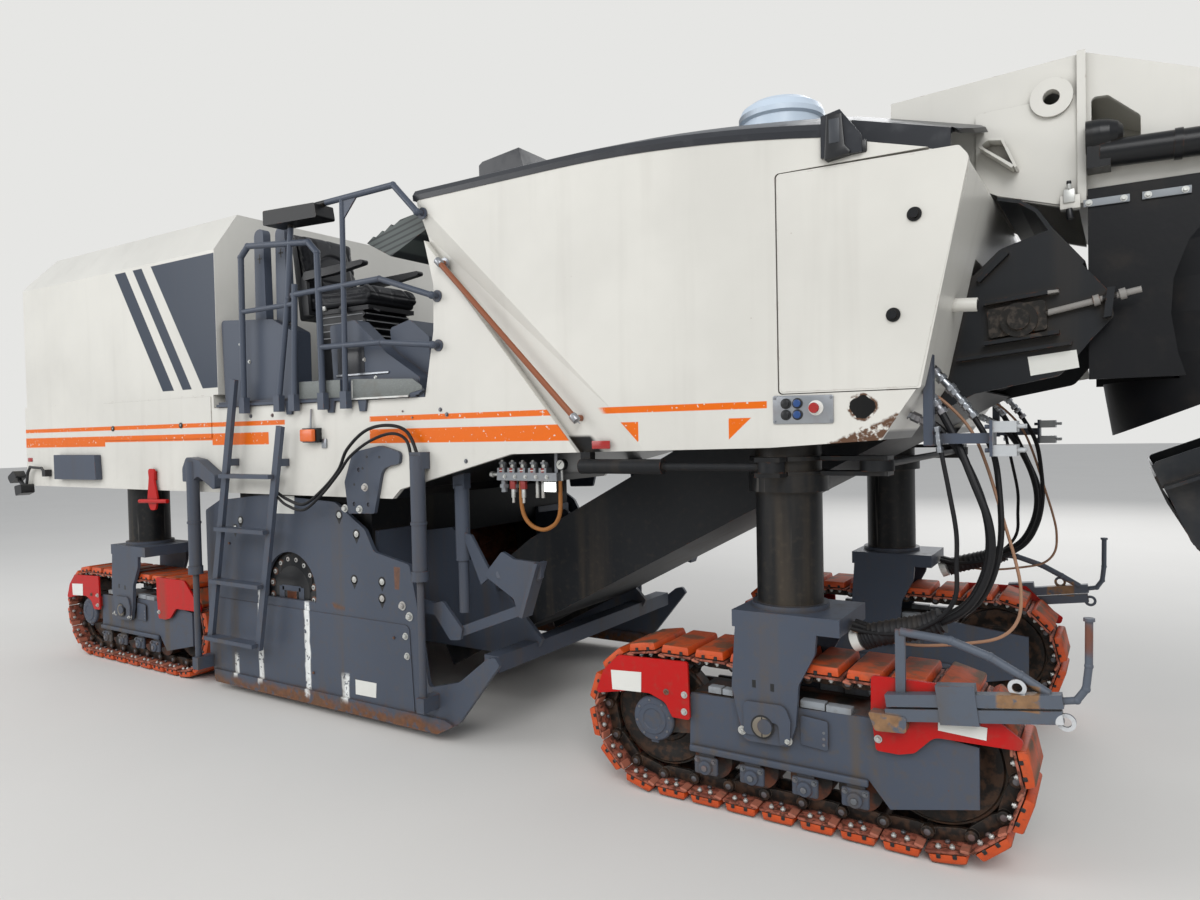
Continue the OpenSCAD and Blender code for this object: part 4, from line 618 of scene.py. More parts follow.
seat_edge = moulded("seat_edges", tone("8e9092"), 0.5)
worn_pin = steel("worn_pin", tone("8f877a"), 0.45, 0.7, 0.7)
tread_speckle = speckled("tread_speckle")
moulded_grey = moulded("vent_plate", tone("3a3d42"), 0.4)
vinyl = rubber("seat_vinyl", tone("232427"), 0.42, 0.25)
seat_plastic = moulded("seat_plastic", tone("1b1c1f"))
console_plastic = moulded("console_plastic", tone("434a54"), 0.5)
label_white = moulded("blank_label", tone("dcdcd6"), 0.4)
amber_lens = lens("amber_lens", tone("e8681a"))
red_lens = lens("red_lens", tone("a81f1c"))
lamp_face = glow("lamp_face", tone("f4f6f0"), 4.0)
lamp_cases = moulded("lamp_cases", tone("1d1e20"), 0.4)
valve_steel = steel("valve_steel", tone("8f9296"), 0.42, 0.75, 0.75)
bar_paint = painted("bar_paint", tone("565d68"), 0.45, 0.7, 0.9, artwork=bar_rust)
bolt_steel = steel("bolt_steel", tone("7d8085"), 0.4, 0.55, 0.8)
black_parts_and_shade = moulded("black_parts_and_shade", tone("1a1b1d"), 0.35)
blue_cap = moulded("blue_cap", tone("24467c"), 0.3)
tan_line = rubber("tan_line", tone("94715a"), 0.5, 0.4)
hose_wrap = rubber("hose_wrap", tone("222224"), 0.5, 0.8)
brown_rail = painted("brown_rail", tone("8a5136"), 0.42, 0.2, 1.0, wear=tone("b9aa9c"), chip=0.12)

# Each finish and the CAD nodes that wear it
FINISHES = {
    cream: "lower_body tank_body",
    dark_steelwork: "engine_block steer_rod_r steer_rod_l steer_barrels tie_rod drum_housing",
    cream_hood: "engine_hood",
    cream_door: "service_door_r service_door_l",
    cover_black: "top_cowl",
    slate_floor: "platform_deck",
    slate_console: "consoles",
    seat_plastic: "seat_frames seat_cushions",
    slate_rails: "handrails",
    slate: "ladders lift_barrels scraper_blade front_shield",
    rust_steel: "milling_drum",
    slate_side: "side_plate_r side_plate_l",
    feed_paint: "feed_conveyor",
    belt_rubber: "feed_belt belt_rear belt_front",
    cream_plain: "gantry slew_yoke discharge_front",
    black_paint: "slew_cylinders luff_barrels",
    shroud_rubber: "shroud",
    cream_tail: "discharge_rear",
    chrome: "luff_rods",
    lamp_cases: "lamps",
    bar_paint: "stow_bars_fr stow_bars_fl",
    valve_steel: "valve_blocks",
    bright_bracket: "hose_brackets",
    red_guard: "lock_levers guards_fr guards_fl guards_rr guards_rl",
    slate_leg: "leg_fr leg_fl leg_rr leg_rl",
    front_track: "track_fr track_fl",
    slate_frame: "track_frame_fr track_frame_fl track_frame_rr track_frame_rl",
    rear_track: "track_rr track_rl",
}

for finish, names in FINISHES.items():
    for name in names.split():
        node_materials = frame["nodes"][name].data.materials
        node_materials.clear()
        node_materials.append(finish)


# Modelling, with X places measured from the front columns
def soften(made, amount, segments=2, sharp=0.6):
    """Round the sharp edges of a fresh shape."""
    if amount:
        edges = [e for e in made.edges if len(e.link_faces) == 2 and e.calc_face_angle() > sharp]
        bmesh.ops.bevel(made, geom=edges, offset=amount, offset_type="OFFSET", segments=segments,
                        profile=0.5, affect="EDGES", clamp_overlap=True, material=-1)


def along(axis):
    """The turn that brings Z onto an axis."""
    return Vector(axis).to_track_quat("Z", "Y").to_matrix().to_4x4()


def facing(run, out):
    """The turn that brings X onto run and Z onto out."""
    return Matrix((run, out.cross(run), out)).transposed().to_4x4()


def ring(middle, radius, count, start=0.0):
    """Evenly spaced places round a middle, seen from the machine's side."""
    for k in range(count):
        angle = 2 * math.pi * k / count + start
        yield middle + Vector((math.cos(angle) * radius, 0, math.sin(angle) * radius))


def outline_of(points, steps=4, radius=0.0):
    """An outline whose corners are rounded, from points as x, z and perhaps their own radius."""
    made = []
    count = len(points)
    for i, point in enumerate(points):
        here = Vector(point[:2])
        bend = point[2] if len(point) > 2 else radius
        if not bend:
            made.append(tuple(here))
            continue
        back = (Vector(points[i - 1][:2]) - here).normalized()
        ahead = (Vector(points[(i + 1) % count][:2]) - here).normalized()
        half = back.angle(ahead) / 2
        reach = bend / math.tan(half)
        first, last = here + back * reach, here + ahead * reach
        centre = here + (back + ahead).normalized() * bend / math.sin(half)
        for k in range(steps + 1):
            spoke = (first - centre).lerp(last - centre, k / steps)
            made.append(tuple(centre + spoke.normalized() * bend))
    return made


class Shape:
    """One new piece that gathers shapes made with bmesh operators."""

    def __init__(self, name, body, finish, slot=None):
        self.name = name
        self.body = body
        self.slot = slot
        self.finishes = [finish]
        self.index = 0
        self.bm = bmesh.new()
        self.shift = FRONT

    def use(self, finish):
        """Give what follows another finish."""
        if finish not in self.finishes:
            self.finishes.append(finish)
        self.index = self.finishes.index(finish)
        return self

    def add(self, made, matrix):
        """Join a fresh shape to the piece at its place, in the finish in use."""
        for face in made.faces:
            face.material_index = self.index
        mesh = bpy.data.meshes.new("fresh_shape")
        made.to_mesh(mesh)
        made.free()
        mesh.transform(Matrix.Translation((self.shift, 0.0, 0.0)) @ matrix)
        self.bm.from_mesh(mesh)
        bpy.data.meshes.remove(mesh)
        return self

    def stamp(self, pattern, matrices):
        """Repeat a pattern shape, drawn about the origin in the same finishes, at many places."""
        self.finishes = list(pattern.finishes)
        whole = bpy.data.meshes.new("pattern")
        pattern.bm.to_mesh(whole)
        for matrix in matrices:
            mesh = whole.copy()
            mesh.transform(Matrix.Translation((self.shift, 0.0, 0.0)) @ matrix)
            self.bm.from_mesh(mesh)
            bpy.data.meshes.remove(mesh)
        bpy.data.meshes.remove(whole)
        return self

    def box(self, low, high, soft=0.003, segments=2, turn=None):
        """A box with rounded edges, turned about its own middle."""
        low, high = Vector(low), Vector(high)
        made = bmesh.new()
        bmesh.ops.create_cube(made, size=1.0)
        bmesh.ops.scale(made, vec=high - low, verts=made.verts)
        soften(made, soft, segments)
        return self.add(made, Matrix.Translation((low + high) / 2) @ (turn or Matrix()))

    def rod(self, start, end, radius, sides=24, soft=0.0, end_radius=None):
        start, end = Vector(start), Vector(end)
        tip = radius if end_radius is None else end_radius
        made = bmesh.new()
        bmesh.ops.create_cone(made, cap_ends=True, segments=sides, radius1=radius, radius2=tip,
                              depth=(end - start).length)
        soften(made, soft)
        return self.add(made, Matrix.Translation((start + end) / 2) @ along(end - start))

    def plate(self, outline, y, thick, soft=0.002):
        """A flat plate from an outline in X and Z, with its thickness along Y."""
        made = bmesh.new()
        face = made.faces.new([made.verts.new((x, 0.0, z)) for x, z in outline])
        drawn = bmesh.ops.extrude_face_region(made, geom=[face])
        moved = [v for v in drawn["geom"] if isinstance(v, bmesh.types.BMVert)]
        bmesh.ops.translate(made, vec=(0.0, thick, 0.0), verts=moved)
        bmesh.ops.recalc_face_normals(made, faces=made.faces)
        soften(made, soft)
        return self.add(made, Matrix.Translation((0.0, y, 0.0)))

    def revolve(self, profile, start, axis, sides=32):
        """A turned shape from a profile of radius and height along an axis."""
        made = bmesh.new()
        verts = [made.verts.new((radius, 0.0, height)) for radius, height in profile]
        edges = [made.edges.new(pair) for pair in zip(verts, verts[1:])]
        bmesh.ops.spin(made, geom=verts + edges, cent=(0, 0, 0), axis=(0, 0, 1), angle=2 * math.pi,
                       steps=sides, use_merge=True)
        bmesh.ops.remove_doubles(made, verts=made.verts, dist=1e-5)
        bmesh.ops.holes_fill(made, edges=[e for e in made.edges if e.is_boundary], sides=0)
        bmesh.ops.recalc_face_normals(made, faces=made.faces)
        return self.add(made, Matrix.Translation(start) @ along(axis))

    def bolt(self, place, axis, size=0.012, washer=True, stud=0.0):
        """A hexagon head on its washer. Size is the head's radius."""
        place, axis = Vector(place), Vector(axis).normalized()
        if washer:
            self.rod(place, place + axis * size * 0.25, size * 1.5, 16)
        made = bmesh.new()
        bmesh.ops.create_cone(made, cap_ends=True, segments=6, radius1=size, radius2=size, depth=size * 0.9)
        soften(made, size * 0.1, 1)
        self.add(made, Matrix.Translation(place + axis * size * 0.7) @ along(axis))
        if stud:
            self.rod(place, place + axis * (size + stud), size * 0.5, 12)
        return self

    def bolts(self, places, y, size=0.012, washer=True, stud=0.0, shift=0.0):
        """Bolts that point outward from either side's face at Y, at X and Z places."""
        for x, z in places:
            self.bolt((shift + x, y, z), (0, math.copysign(1.0, y), 0), size, washer, stud)
        return self

    def side_box(self, sign, low, high):
        """A thin box drawn on the left side, on the side that the sign names."""
        (x0, y0, z0), (x1, y1, z1) = low, high
        near, far = sorted((sign * y0, sign * y1))
        return self.box((x0, near, z0), (x1, far, z1), 0.002, 1)

    def tube(self, points, radius, sides=12, bend=0.03):
        """A round tube through points, bent at its corners."""
        return self.sweep(smooth_path(points, bend), radius, sides)

    def sweep(self, path, radius, sides=12):
        """A closed round tube along a path. The radius may be a list, one for each point."""
        made = bmesh.new()
        radii = radius if isinstance(radius, list) else [radius] * len(path)
        rings = []
        side_way = None
        for i, point in enumerate(path):
            ahead = (path[min(i + 1, len(path) - 1)] - path[max(i - 1, 0)]).normalized()
            if side_way is None:
                side_way = ahead.orthogonal().normalized()
            side_way = (side_way - ahead * side_way.dot(ahead)).normalized()
            turn = Matrix((side_way, ahead.cross(side_way), ahead)).transposed().to_4x4()
            place = Matrix.Translation(point) @ turn
            circle = bmesh.ops.create_circle(made, cap_ends=i in (0, len(path) - 1), segments=sides,
                                             radius=radii[i], matrix=place)
            rings.append(circle["verts"])
        for first, second in zip(rings, rings[1:]):
            for k in range(sides):
                made.faces.new((first[k], first[(k + 1) % sides], second[(k + 1) % sides], second[k]))
        bmesh.ops.recalc_face_normals(made, faces=made.faces)
        return self.add(made, Matrix())

    def both_sides(self):
        """Repeat everything on the machine's other side."""
        whole = self.bm.verts[:] + self.bm.edges[:] + self.bm.faces[:]
        copied = bmesh.ops.duplicate(self.bm, geom=whole)["geom"]
        verts = [g for g in copied if isinstance(g, bmesh.types.BMVert)]
        faces = [g for g in copied if isinstance(g, bmesh.types.BMFace)]
        bmesh.ops.scale(self.bm, vec=(1.0, -1.0, 1.0), verts=verts)
        bmesh.ops.reverse_faces(self.bm, faces=faces)
        return self

    def done(self, sharp=0.6):
        for face in self.bm.faces:
            face.smooth = True
        for edge in self.bm.edges:
            edge.smooth = len(edge.link_faces) == 2 and edge.calc_face_angle() < sharp
        mesh = bpy.data.meshes.new(self.name)
        self.bm.to_mesh(mesh)
        self.bm.free()
        for finish in self.finishes:
            mesh.materials.append(finish)
        piece = bpy.data.objects.new(self.name, mesh)
        bpy.context.scene.collection.objects.link(piece)
        if self.body:
            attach(piece, self.body)
        return piece


def smooth_path(points, bend, steps=5):
    """Points with the corners between them bent, as vectors."""
    points = [Vector(p) for p in points]
    made = [points[0]]
    for before, here, after in zip(points, points[1:], points[2:]):
        back, ahead = before - here, after - here
        reach = min(bend, back.length * 0.45, ahead.length * 0.45)
        first, last = here + back.normalized() * reach, here + ahead.normalized() * reach
        for k in range(steps + 1):
            t = k / steps
            made.append(first.lerp(here, t).lerp(here.lerp(last, t), t))
    made.append(points[-1])
    return made


def hanging_path(points, steps=8):
    """A smooth line through points, as a hose takes it."""
    points = [Vector(p) for p in points]
    ends = [points[0] * 2 - points[1]] + points + [points[-1] * 2 - points[-2]]
    made = []
    for a, b, c, d in zip(ends, ends[1:], ends[2:], ends[3:]):
        for k in range(steps):
            t = k / steps
            made.append(0.5 * (b * 2 + (c - a) * t + (a * 2 - b * 5 + c * 4 - d) * t * t
                               + (b * 3 - a - c * 3 + d) * t * t * t))
    made.append(points[-1])
    return made


# Pieces on the machine's sides
STEERED = {"r": "leg_fr", "l": "leg_fl"}


def hose(name, points, radius, finish, side, cross=None, sides=10):
    """A free hose between two fittings, of the length of its route. It may cross the steering joint."""
    route = [Vector((p.x, p.y * -side, p.z)) for p in hanging_path(points)]
    shape = Shape(name, None if cross else "machine", finish, "black_rubber")
    shape.sweep(route, radius, sides)
    piece = shape.done()
    if cross:
        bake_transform(piece)


def make_grab_rails():
    """A worn brown rail in each side's slanted strip, held by two plated brackets."""
    rails = Shape("grab_rails", "machine", brown_rail)
    top, foot = Vector((-2.0, -1.283, 2.878)), Vector((-1.07, -1.283, 1.945))
    way = (foot - top).normalized()
    rails.tube([top + Vector((0, 0.06, 0)), top, foot, foot + Vector((0, 0.085, 0))], 0.0165, 16, 0.03)
    rails.use(plated)
    for place, depth in ((top, 0.05), (foot, 0.075)):
        rails.rod(place - way * 0.022, place + way * 0.022, 0.023, 20, 0.004)
        rails.rod(place, place + Vector((0, depth, 0)), 0.014, 16, 0.002)
        rails.rod(place + Vector((0, depth - 0.008, 0)), place + Vector((0, depth, 0)), 0.034, 24, 0.002)
        for turn in (-1, 1):
            rails.bolt(place + way * 0.012 * turn, RIGHT, 0.009)
    rails.both_sides().done()


def make_side_fittings():
    """Control plates, red reflectors, amber marker lenses and the hood's locks."""
    plate = Shape("control_plates", "machine", plated)
    plate.plate(outline_of([(0.011, 1.889), (0.011, 2.018), (0.29, 2.013), (0.29, 1.887)], radius=0.008),
                -1.257, 0.0065)
    plate.bolts(((0.02, 1.9), (0.02, 2.006), (0.281, 2.002), (0.281, 1.898)), -1.257, 0.005)
    for k in range(2):
        for row in range(2):
            place = Vector((0.074 + 0.054 * k, -1.257, 1.98 - 0.051 * row))
            plate.use(black_parts_and_shade).rod(place, place + Vector((0, -0.005, 0)), 0.0245, 28, 0.001)
            plate.use(blue_cap if k else black_parts_and_shade)
            plate.rod(place + Vector((0, -0.004, 0)), place + Vector((0, -0.015, 0)), 0.0175, 24, 0.003)
    place = Vector((0.214, -1.257, 1.957))
    plate.use(label_white).rod(place, place + Vector((0, -0.012, 0)), 0.034, 32, 0.003)
    plate.use(red_lens).rod(place, place + Vector((0, -0.03, 0)), 0.013, 20, 0.001)
    plate.revolve([(0.0, 0.03), (0.021, 0.03), (0.024, 0.036), (0.022, 0.044), (0.0, 0.047)], place,
                  RIGHT, 24)
    plate.both_sides().done()

    mirrors = Shape("red_reflectors", "machine", red_lens)
    mirrors.box((-0.984, -1.256, 1.781), (-0.874, -1.2495, 1.823), 0.002)
    mirrors.box((-7.2, -1.256, 1.70), (-7.12, -1.2495, 1.735), 0.002)
    mirrors.both_sides().done()

    lenses = Shape("marker_lenses", "machine", amber_lens, "amber_lens")
    lenses.box((-3.25, -1.322, 1.844), (-3.12, -1.2915, 1.926), 0.01, 3)
    lenses.use(plated).box((-3.105, -1.262, 1.80), (-3.06, -1.2495, 1.86), 0.002)
    lenses.rod((-3.2, -1.27, 1.93), (-3.2, -1.26, 2.06), 0.006, 10)
    lenses.both_sides().done()

    locks = Shape("hood_locks", "machine", black_parts_and_shade)
    for x, z in ((-5.696, 1.977), (-4.717, 1.983)):
        locks.use(black_parts_and_shade).rod((x, -1.262, z), (x, -1.2555, z), 0.022, 24, 0.002)
        locks.use(plated).rod((x, -1.264, z), (x, -1.2555, z), 0.009, 16, 0.001)
    locks.both_sides().done()


def make_panel_hardware():
    """Bolt heads over the body's skins."""
    bolts = Shape("skin_bolts", "machine", bolt_steel)
    bolts.bolts(((-3.86, 2.03), (-3.62, 2.03), (-2.63, 1.62), (-1.86, 1.715), (-2.23, 1.665),
                 (-2.05, 2.02), (-2.0, 1.99)), -SIDE, 0.009)
    bolts.bolts(((-2.36, 2.02), (-2.28, 1.98)), -SIDE, 0.006, False)
    bolts.both_sides().done()


# Routes of the free hoses on the right side, as radius and points between two fittings
LIFT_HOSES = {
    "upper": (0.0105, [
        (-3.53, -1.3, 1.5), (-3.42, -1.3, 1.455), (-3.22, -1.325, 1.43), (-3.02, -1.335, 1.53),
        (-2.86, -1.335, 1.66), (-2.78, -1.33, 1.79), (-2.62, -1.32, 1.905), (-2.44, -1.31, 1.936),
        (-2.29, -1.3, 1.9), (-2.21, -1.3, 1.78), (-2.19, -1.3, 1.66),
    ]),
    "lower": (0.0095, [
        (-3.5, -1.32, 1.47), (-3.4, -1.325, 1.42), (-3.2, -1.345, 1.395), (-3.0, -1.36, 1.5),
        (-2.83, -1.36, 1.64), (-2.72, -1.355, 1.75), (-2.55, -1.34, 1.845), (-2.38, -1.325, 1.885),
        (-2.27, -1.315, 1.84), (-2.235, -1.315, 1.72), (-2.23, -1.31, 1.62),
    ]),
}
DRIVE_HOSES = {
    "outer": (0.017, [
        (0.70, -1.06, 1.93), (0.765, -1.075, 1.80), (0.835, -1.11, 1.63), (0.893, -1.13, 1.47),
        (0.905, -1.135, 1.33), (0.868, -1.13, 1.19), (0.79, -1.12, 1.075), (0.66, -1.11, 1.0),
        (0.52, -1.1, 0.955), (0.4, -1.09, 0.945), (0.315, -1.09, 0.96),
    ]),
    "middle": (0.016, [
        (0.655, -1.052, 1.885), (0.71, -1.045, 1.835), (0.79, -1.05, 1.72), (0.862, -1.075, 1.55),
        (0.892, -1.09, 1.39), (0.872, -1.09, 1.24), (0.8, -1.08, 1.1), (0.67, -1.07, 1.015),
        (0.53, -1.06, 0.965), (0.4, -1.05, 0.95), (0.315, -1.05, 0.965),
    ]),
    "inner": (0.013, [
        (0.66, -1.0, 2.13), (0.745, -1.0, 2.015), (0.83, -0.995, 1.89), (0.9, -1.0, 1.74),
        (0.925, -1.02, 1.56), (0.93, -1.04, 1.38), (0.9, -1.045, 1.22), (0.83, -1.04, 1.09),
        (0.7, -1.03, 1.0), (0.55, -1.02, 0.955), (0.4, -1.02, 0.94), (0.315, -1.02, 0.955),
    ]),
    "drain": (0.010, [
        (0.708, -1.136, 1.80), (0.722, -1.15, 1.72), (0.745, -1.16, 1.6), (0.775, -1.17, 1.42),
        (0.775, -1.17, 1.28), (0.77, -1.165, 1.15), (0.72, -1.15, 1.06), (0.63, -1.14, 0.99),
        (0.52, -1.13, 0.95), (0.4, -1.12, 0.94), (0.315, -1.12, 0.95),
    ]),
}
GREASE_LINE = [
    (0.635, -1.0, 2.02), (0.7, -1.0, 1.975), (0.78, -1.0, 1.89), (0.835, -1.01, 1.8),
    (0.885, -1.02, 1.66), (0.94, -1.03, 1.46), (0.985, -1.04, 1.29), (1.005, -1.05, 1.17),
    (0.995, -1.06, 1.05), (0.93, -1.07, 0.97), (0.8, -1.08, 0.93), (0.6, -1.09, 0.9),
    (0.42, -1.1, 0.915), (0.315, -1.1, 0.94),
]
VALVE_LOOP = [
    (-1.562, -1.12, 1.6), (-1.562, -1.12, 1.47), (-1.54, -1.12, 1.39), (-1.488, -1.12, 1.34),
    (-1.42, -1.12, 1.322), (-1.366, -1.12, 1.334), (-1.317, -1.12, 1.37), (-1.29, -1.12, 1.44),
    (-1.288, -1.12, 1.6),
]
SLEEVE = [
    (0.70, -1.085, 1.02), (0.62, -1.085, 0.985), (0.53, -1.08, 0.958), (0.42, -1.075, 0.925),
    (0.36, -1.07, 0.9),
]


def make_lift_hoses():
    """Hoses that arch over the hooked bracket of each rear lifting cylinder."""
    for side, sign in SIDES.items():
        for name, (radius, points) in LIFT_HOSES.items():
            hose("lift_hose_%s_%s" % (name, side), points, radius, hose_rubber, sign)


def make_drive_hoses():
    """Hoses from each front bracket down to the track's motor, gathered in a wrapped sleeve."""
    for side, sign in SIDES.items():
        leg = STEERED[side]
        for name, (radius, points) in DRIVE_HOSES.items():
            hose("drive_hose_%s_%s" % (name, side), points, radius, hose_rubber, sign, cross=leg)
        hose("grease_line_" + side, GREASE_LINE, 0.007, tan_line, sign, leg, 8)

        sleeve = Shape("hose_sleeve_" + side, leg, hose_wrap, "black_rubber")
        route = [Vector((x, y * -sign, z)) for x, y, z in SLEEVE]
        fine = hanging_path(route, 12)
        sleeve.sweep(fine, [0.052 + 0.005 * (k % 3 == 0) for k in range(len(fine))], 18)
        way = (route[-1] - route[-2]).normalized()
        sleeve.use(label_white).sweep([route[-1] + way * 0.01, route[-1] + way * 0.05], 0.05, 18)
        sleeve.done()

    fittings = Shape("hose_fittings", "machine", plated)
    for start, end, radius in (
        ((0.62, -1.0, 2.16), (0.74, -1.0, 2.02), 0.021),
        ((0.74, -1.0, 2.02), (0.83, -1.0, 1.9), 0.018),
        ((0.55, -1.03, 1.925), (0.63, -1.03, 1.885), 0.019),
        ((0.63, -1.03, 1.885), (0.72, -1.04, 1.825), 0.0175),
        ((0.64, -1.06, 2.03), (0.71, -1.06, 1.92), 0.0195),
        ((0.7, -1.15, 1.86), (0.711, -1.15, 1.755), 0.013),
    ):
        start, end = Vector(start), Vector(end)
        way = (end - start).normalized()
        fittings.rod(start, end, radius * 0.8, 16)
        for t in (0.08, 0.42, 0.62, 0.93):
            place = start.lerp(end, t)
            fittings.rod(place - way * 0.011, place + way * 0.011, radius * 1.18, 6, 0.001)
    fittings.both_sides().done()


def loop_places(x):
    """Where each shoe's plate lies round a track: X along the run and Z outward."""
    straight, bend = 2 * TRACK_RUN, math.pi * SHOE_FACE
    pitch = 2 * (straight + bend) / SHOE_COUNT
    places = []
    for k in range(SHOE_COUNT):
        s = (k + 0.5) * pitch
        if s < straight:
            angle, middle = -math.pi / 2, s - TRACK_RUN
        elif s < straight + bend:
            angle, middle = (s - straight) / SHOE_FACE - math.pi / 2, TRACK_RUN
        elif s < 2 * straight + bend:
            angle, middle = math.pi / 2, TRACK_RUN - (s - straight - bend)
        else:
            angle, middle = (s - 2 * straight - bend) / SHOE_FACE + math.pi / 2, -TRACK_RUN
        out = Vector((math.cos(angle), 0.0, math.sin(angle)))
        run = Vector((-math.sin(angle), 0.0, math.cos(angle)))
        place = Vector((x + middle, 0.0, TRACK_RISE)) + out * SHOE_FACE
        places.append(Matrix.Translation(place) @ facing(run, out))
    return places


# A chain link's outline, with each corner's radius
LINK = [
    (-0.098, -0.062, 0.02), (-0.098, -0.03, 0.02), (-0.06, -0.014, 0.01), (0.06, -0.014, 0.01),
    (0.098, -0.03, 0.02), (0.098, -0.062, 0.02), (0.05, -0.07, 0.02), (-0.05, -0.07, 0.02),
]


def shoe_pattern(pad_finish):
    """One shoe about the origin: orange pad outside, then steel plate, nuts and a pair of chain links."""
    shoe = Shape("shoe", None, pad_finish)
    shoe.shift = 0.0
    made = bmesh.new()
    bmesh.ops.create_cube(made, size=1.0)
    bmesh.ops.scale(made, vec=(0.158, 0.366, 0.042), verts=made.verts)
    bmesh.ops.translate(made, vec=(0, 0, 0.0225), verts=made.verts)
    bmesh.ops.scale(made, vec=(0.9, 0.965, 1.0), verts=[v for v in made.verts if v.co.z > 0.03])
    soften(made, 0.009, 2)
    shoe.add(made, Matrix())
    for side in (-1, 1):
        for u in (-0.036, 0.03):
            shoe.use(black_parts_and_shade).box((u - 0.009, side * 0.1835 - 0.004, 0.0),
                                       (u + 0.009, side * 0.1835 + 0.003, 0.019), 0.003, 1)
    shoe.use(shoe_metal)
    shoe.plate([(-0.089, -0.014), (-0.084, -0.002), (0.08, -0.002), (0.091, -0.009), (0.091, -0.014),
                (0.075, -0.012)], -0.185, 0.37, 0.0015)
    for side in (-1, 1):
        shoe.use(shoe_flap).box((0.055, side * 0.152 - 0.036, -0.022),
                                (0.093, side * 0.152 + 0.036, -0.010), 0.003, 1,
                                Matrix.Rotation(-0.2, 4, "Y"))
        for u in (-0.035, 0.022):
            shoe.use(zinc).bolt((u, side * 0.158, -0.013), (0, 0, -1), 0.0125, False, 0.008)
        shoe.use(bolt_steel).bolt((-0.006, side * 0.104, -0.013), (0, 0, -1), 0.0115, False, 0.004)
        shoe.use(chain_grease)
        shoe.plate(outline_of(LINK, 3), side * 0.066 - 0.011, 0.022, 0.002)
        shoe.rod((0.094, side * 0.06, -0.045), (0.094, side * 0.104, -0.045), 0.028, 16, 0.004)
        shoe.use(bolt_steel).rod((0.094, side * 0.1, -0.045), (0.094, side * 0.1065, -0.045), 0.014, 12,
                                 0.001)
    shoe.use(chain_grease).rod((0.094, -0.06, -0.045), (0.094, 0.06, -0.045), 0.019, 12)
    return shoe


def make_tracks():
    """The four tracks, shoe by shoe, in place of their plain loops."""
    for end, x in AXLES:
        pattern = shoe_pattern(front_track if end == "f" else rear_track)
        for side, sign in SIDES.items():
            track = Shape("shoes_" + end + side, "leg_" + end + side, pattern.finishes[0], "pad_rubber")
            lift = Matrix.Translation((0.0, sign * TRACK_Y, 0.0))
            track.stamp(pattern, [lift @ place for place in loop_places(x)])
            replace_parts(track.done(), "track_" + end + side)
        pattern.bm.free()


# Turned shapes on the tracks' frames, as radius and height
HUB_COVER = [
    (0.0, 0.022), (0.05, 0.022), (0.055, 0.026), (0.075, 0.026), (0.08, 0.02), (0.108, 0.016),
    (0.114, 0.009), (0.115, -0.02), (0.0, -0.02),
]
WHEEL_RIM = [
    (0.0, 0.0), (0.12, 0.0), (0.13, 0.012), (0.15, 0.012), (0.16, 0.002), (0.2, 0.002), (0.215, 0.012),
    (0.262, 0.012), (0.27, 0.004), (0.272, -0.02), (0.0, -0.02),
]


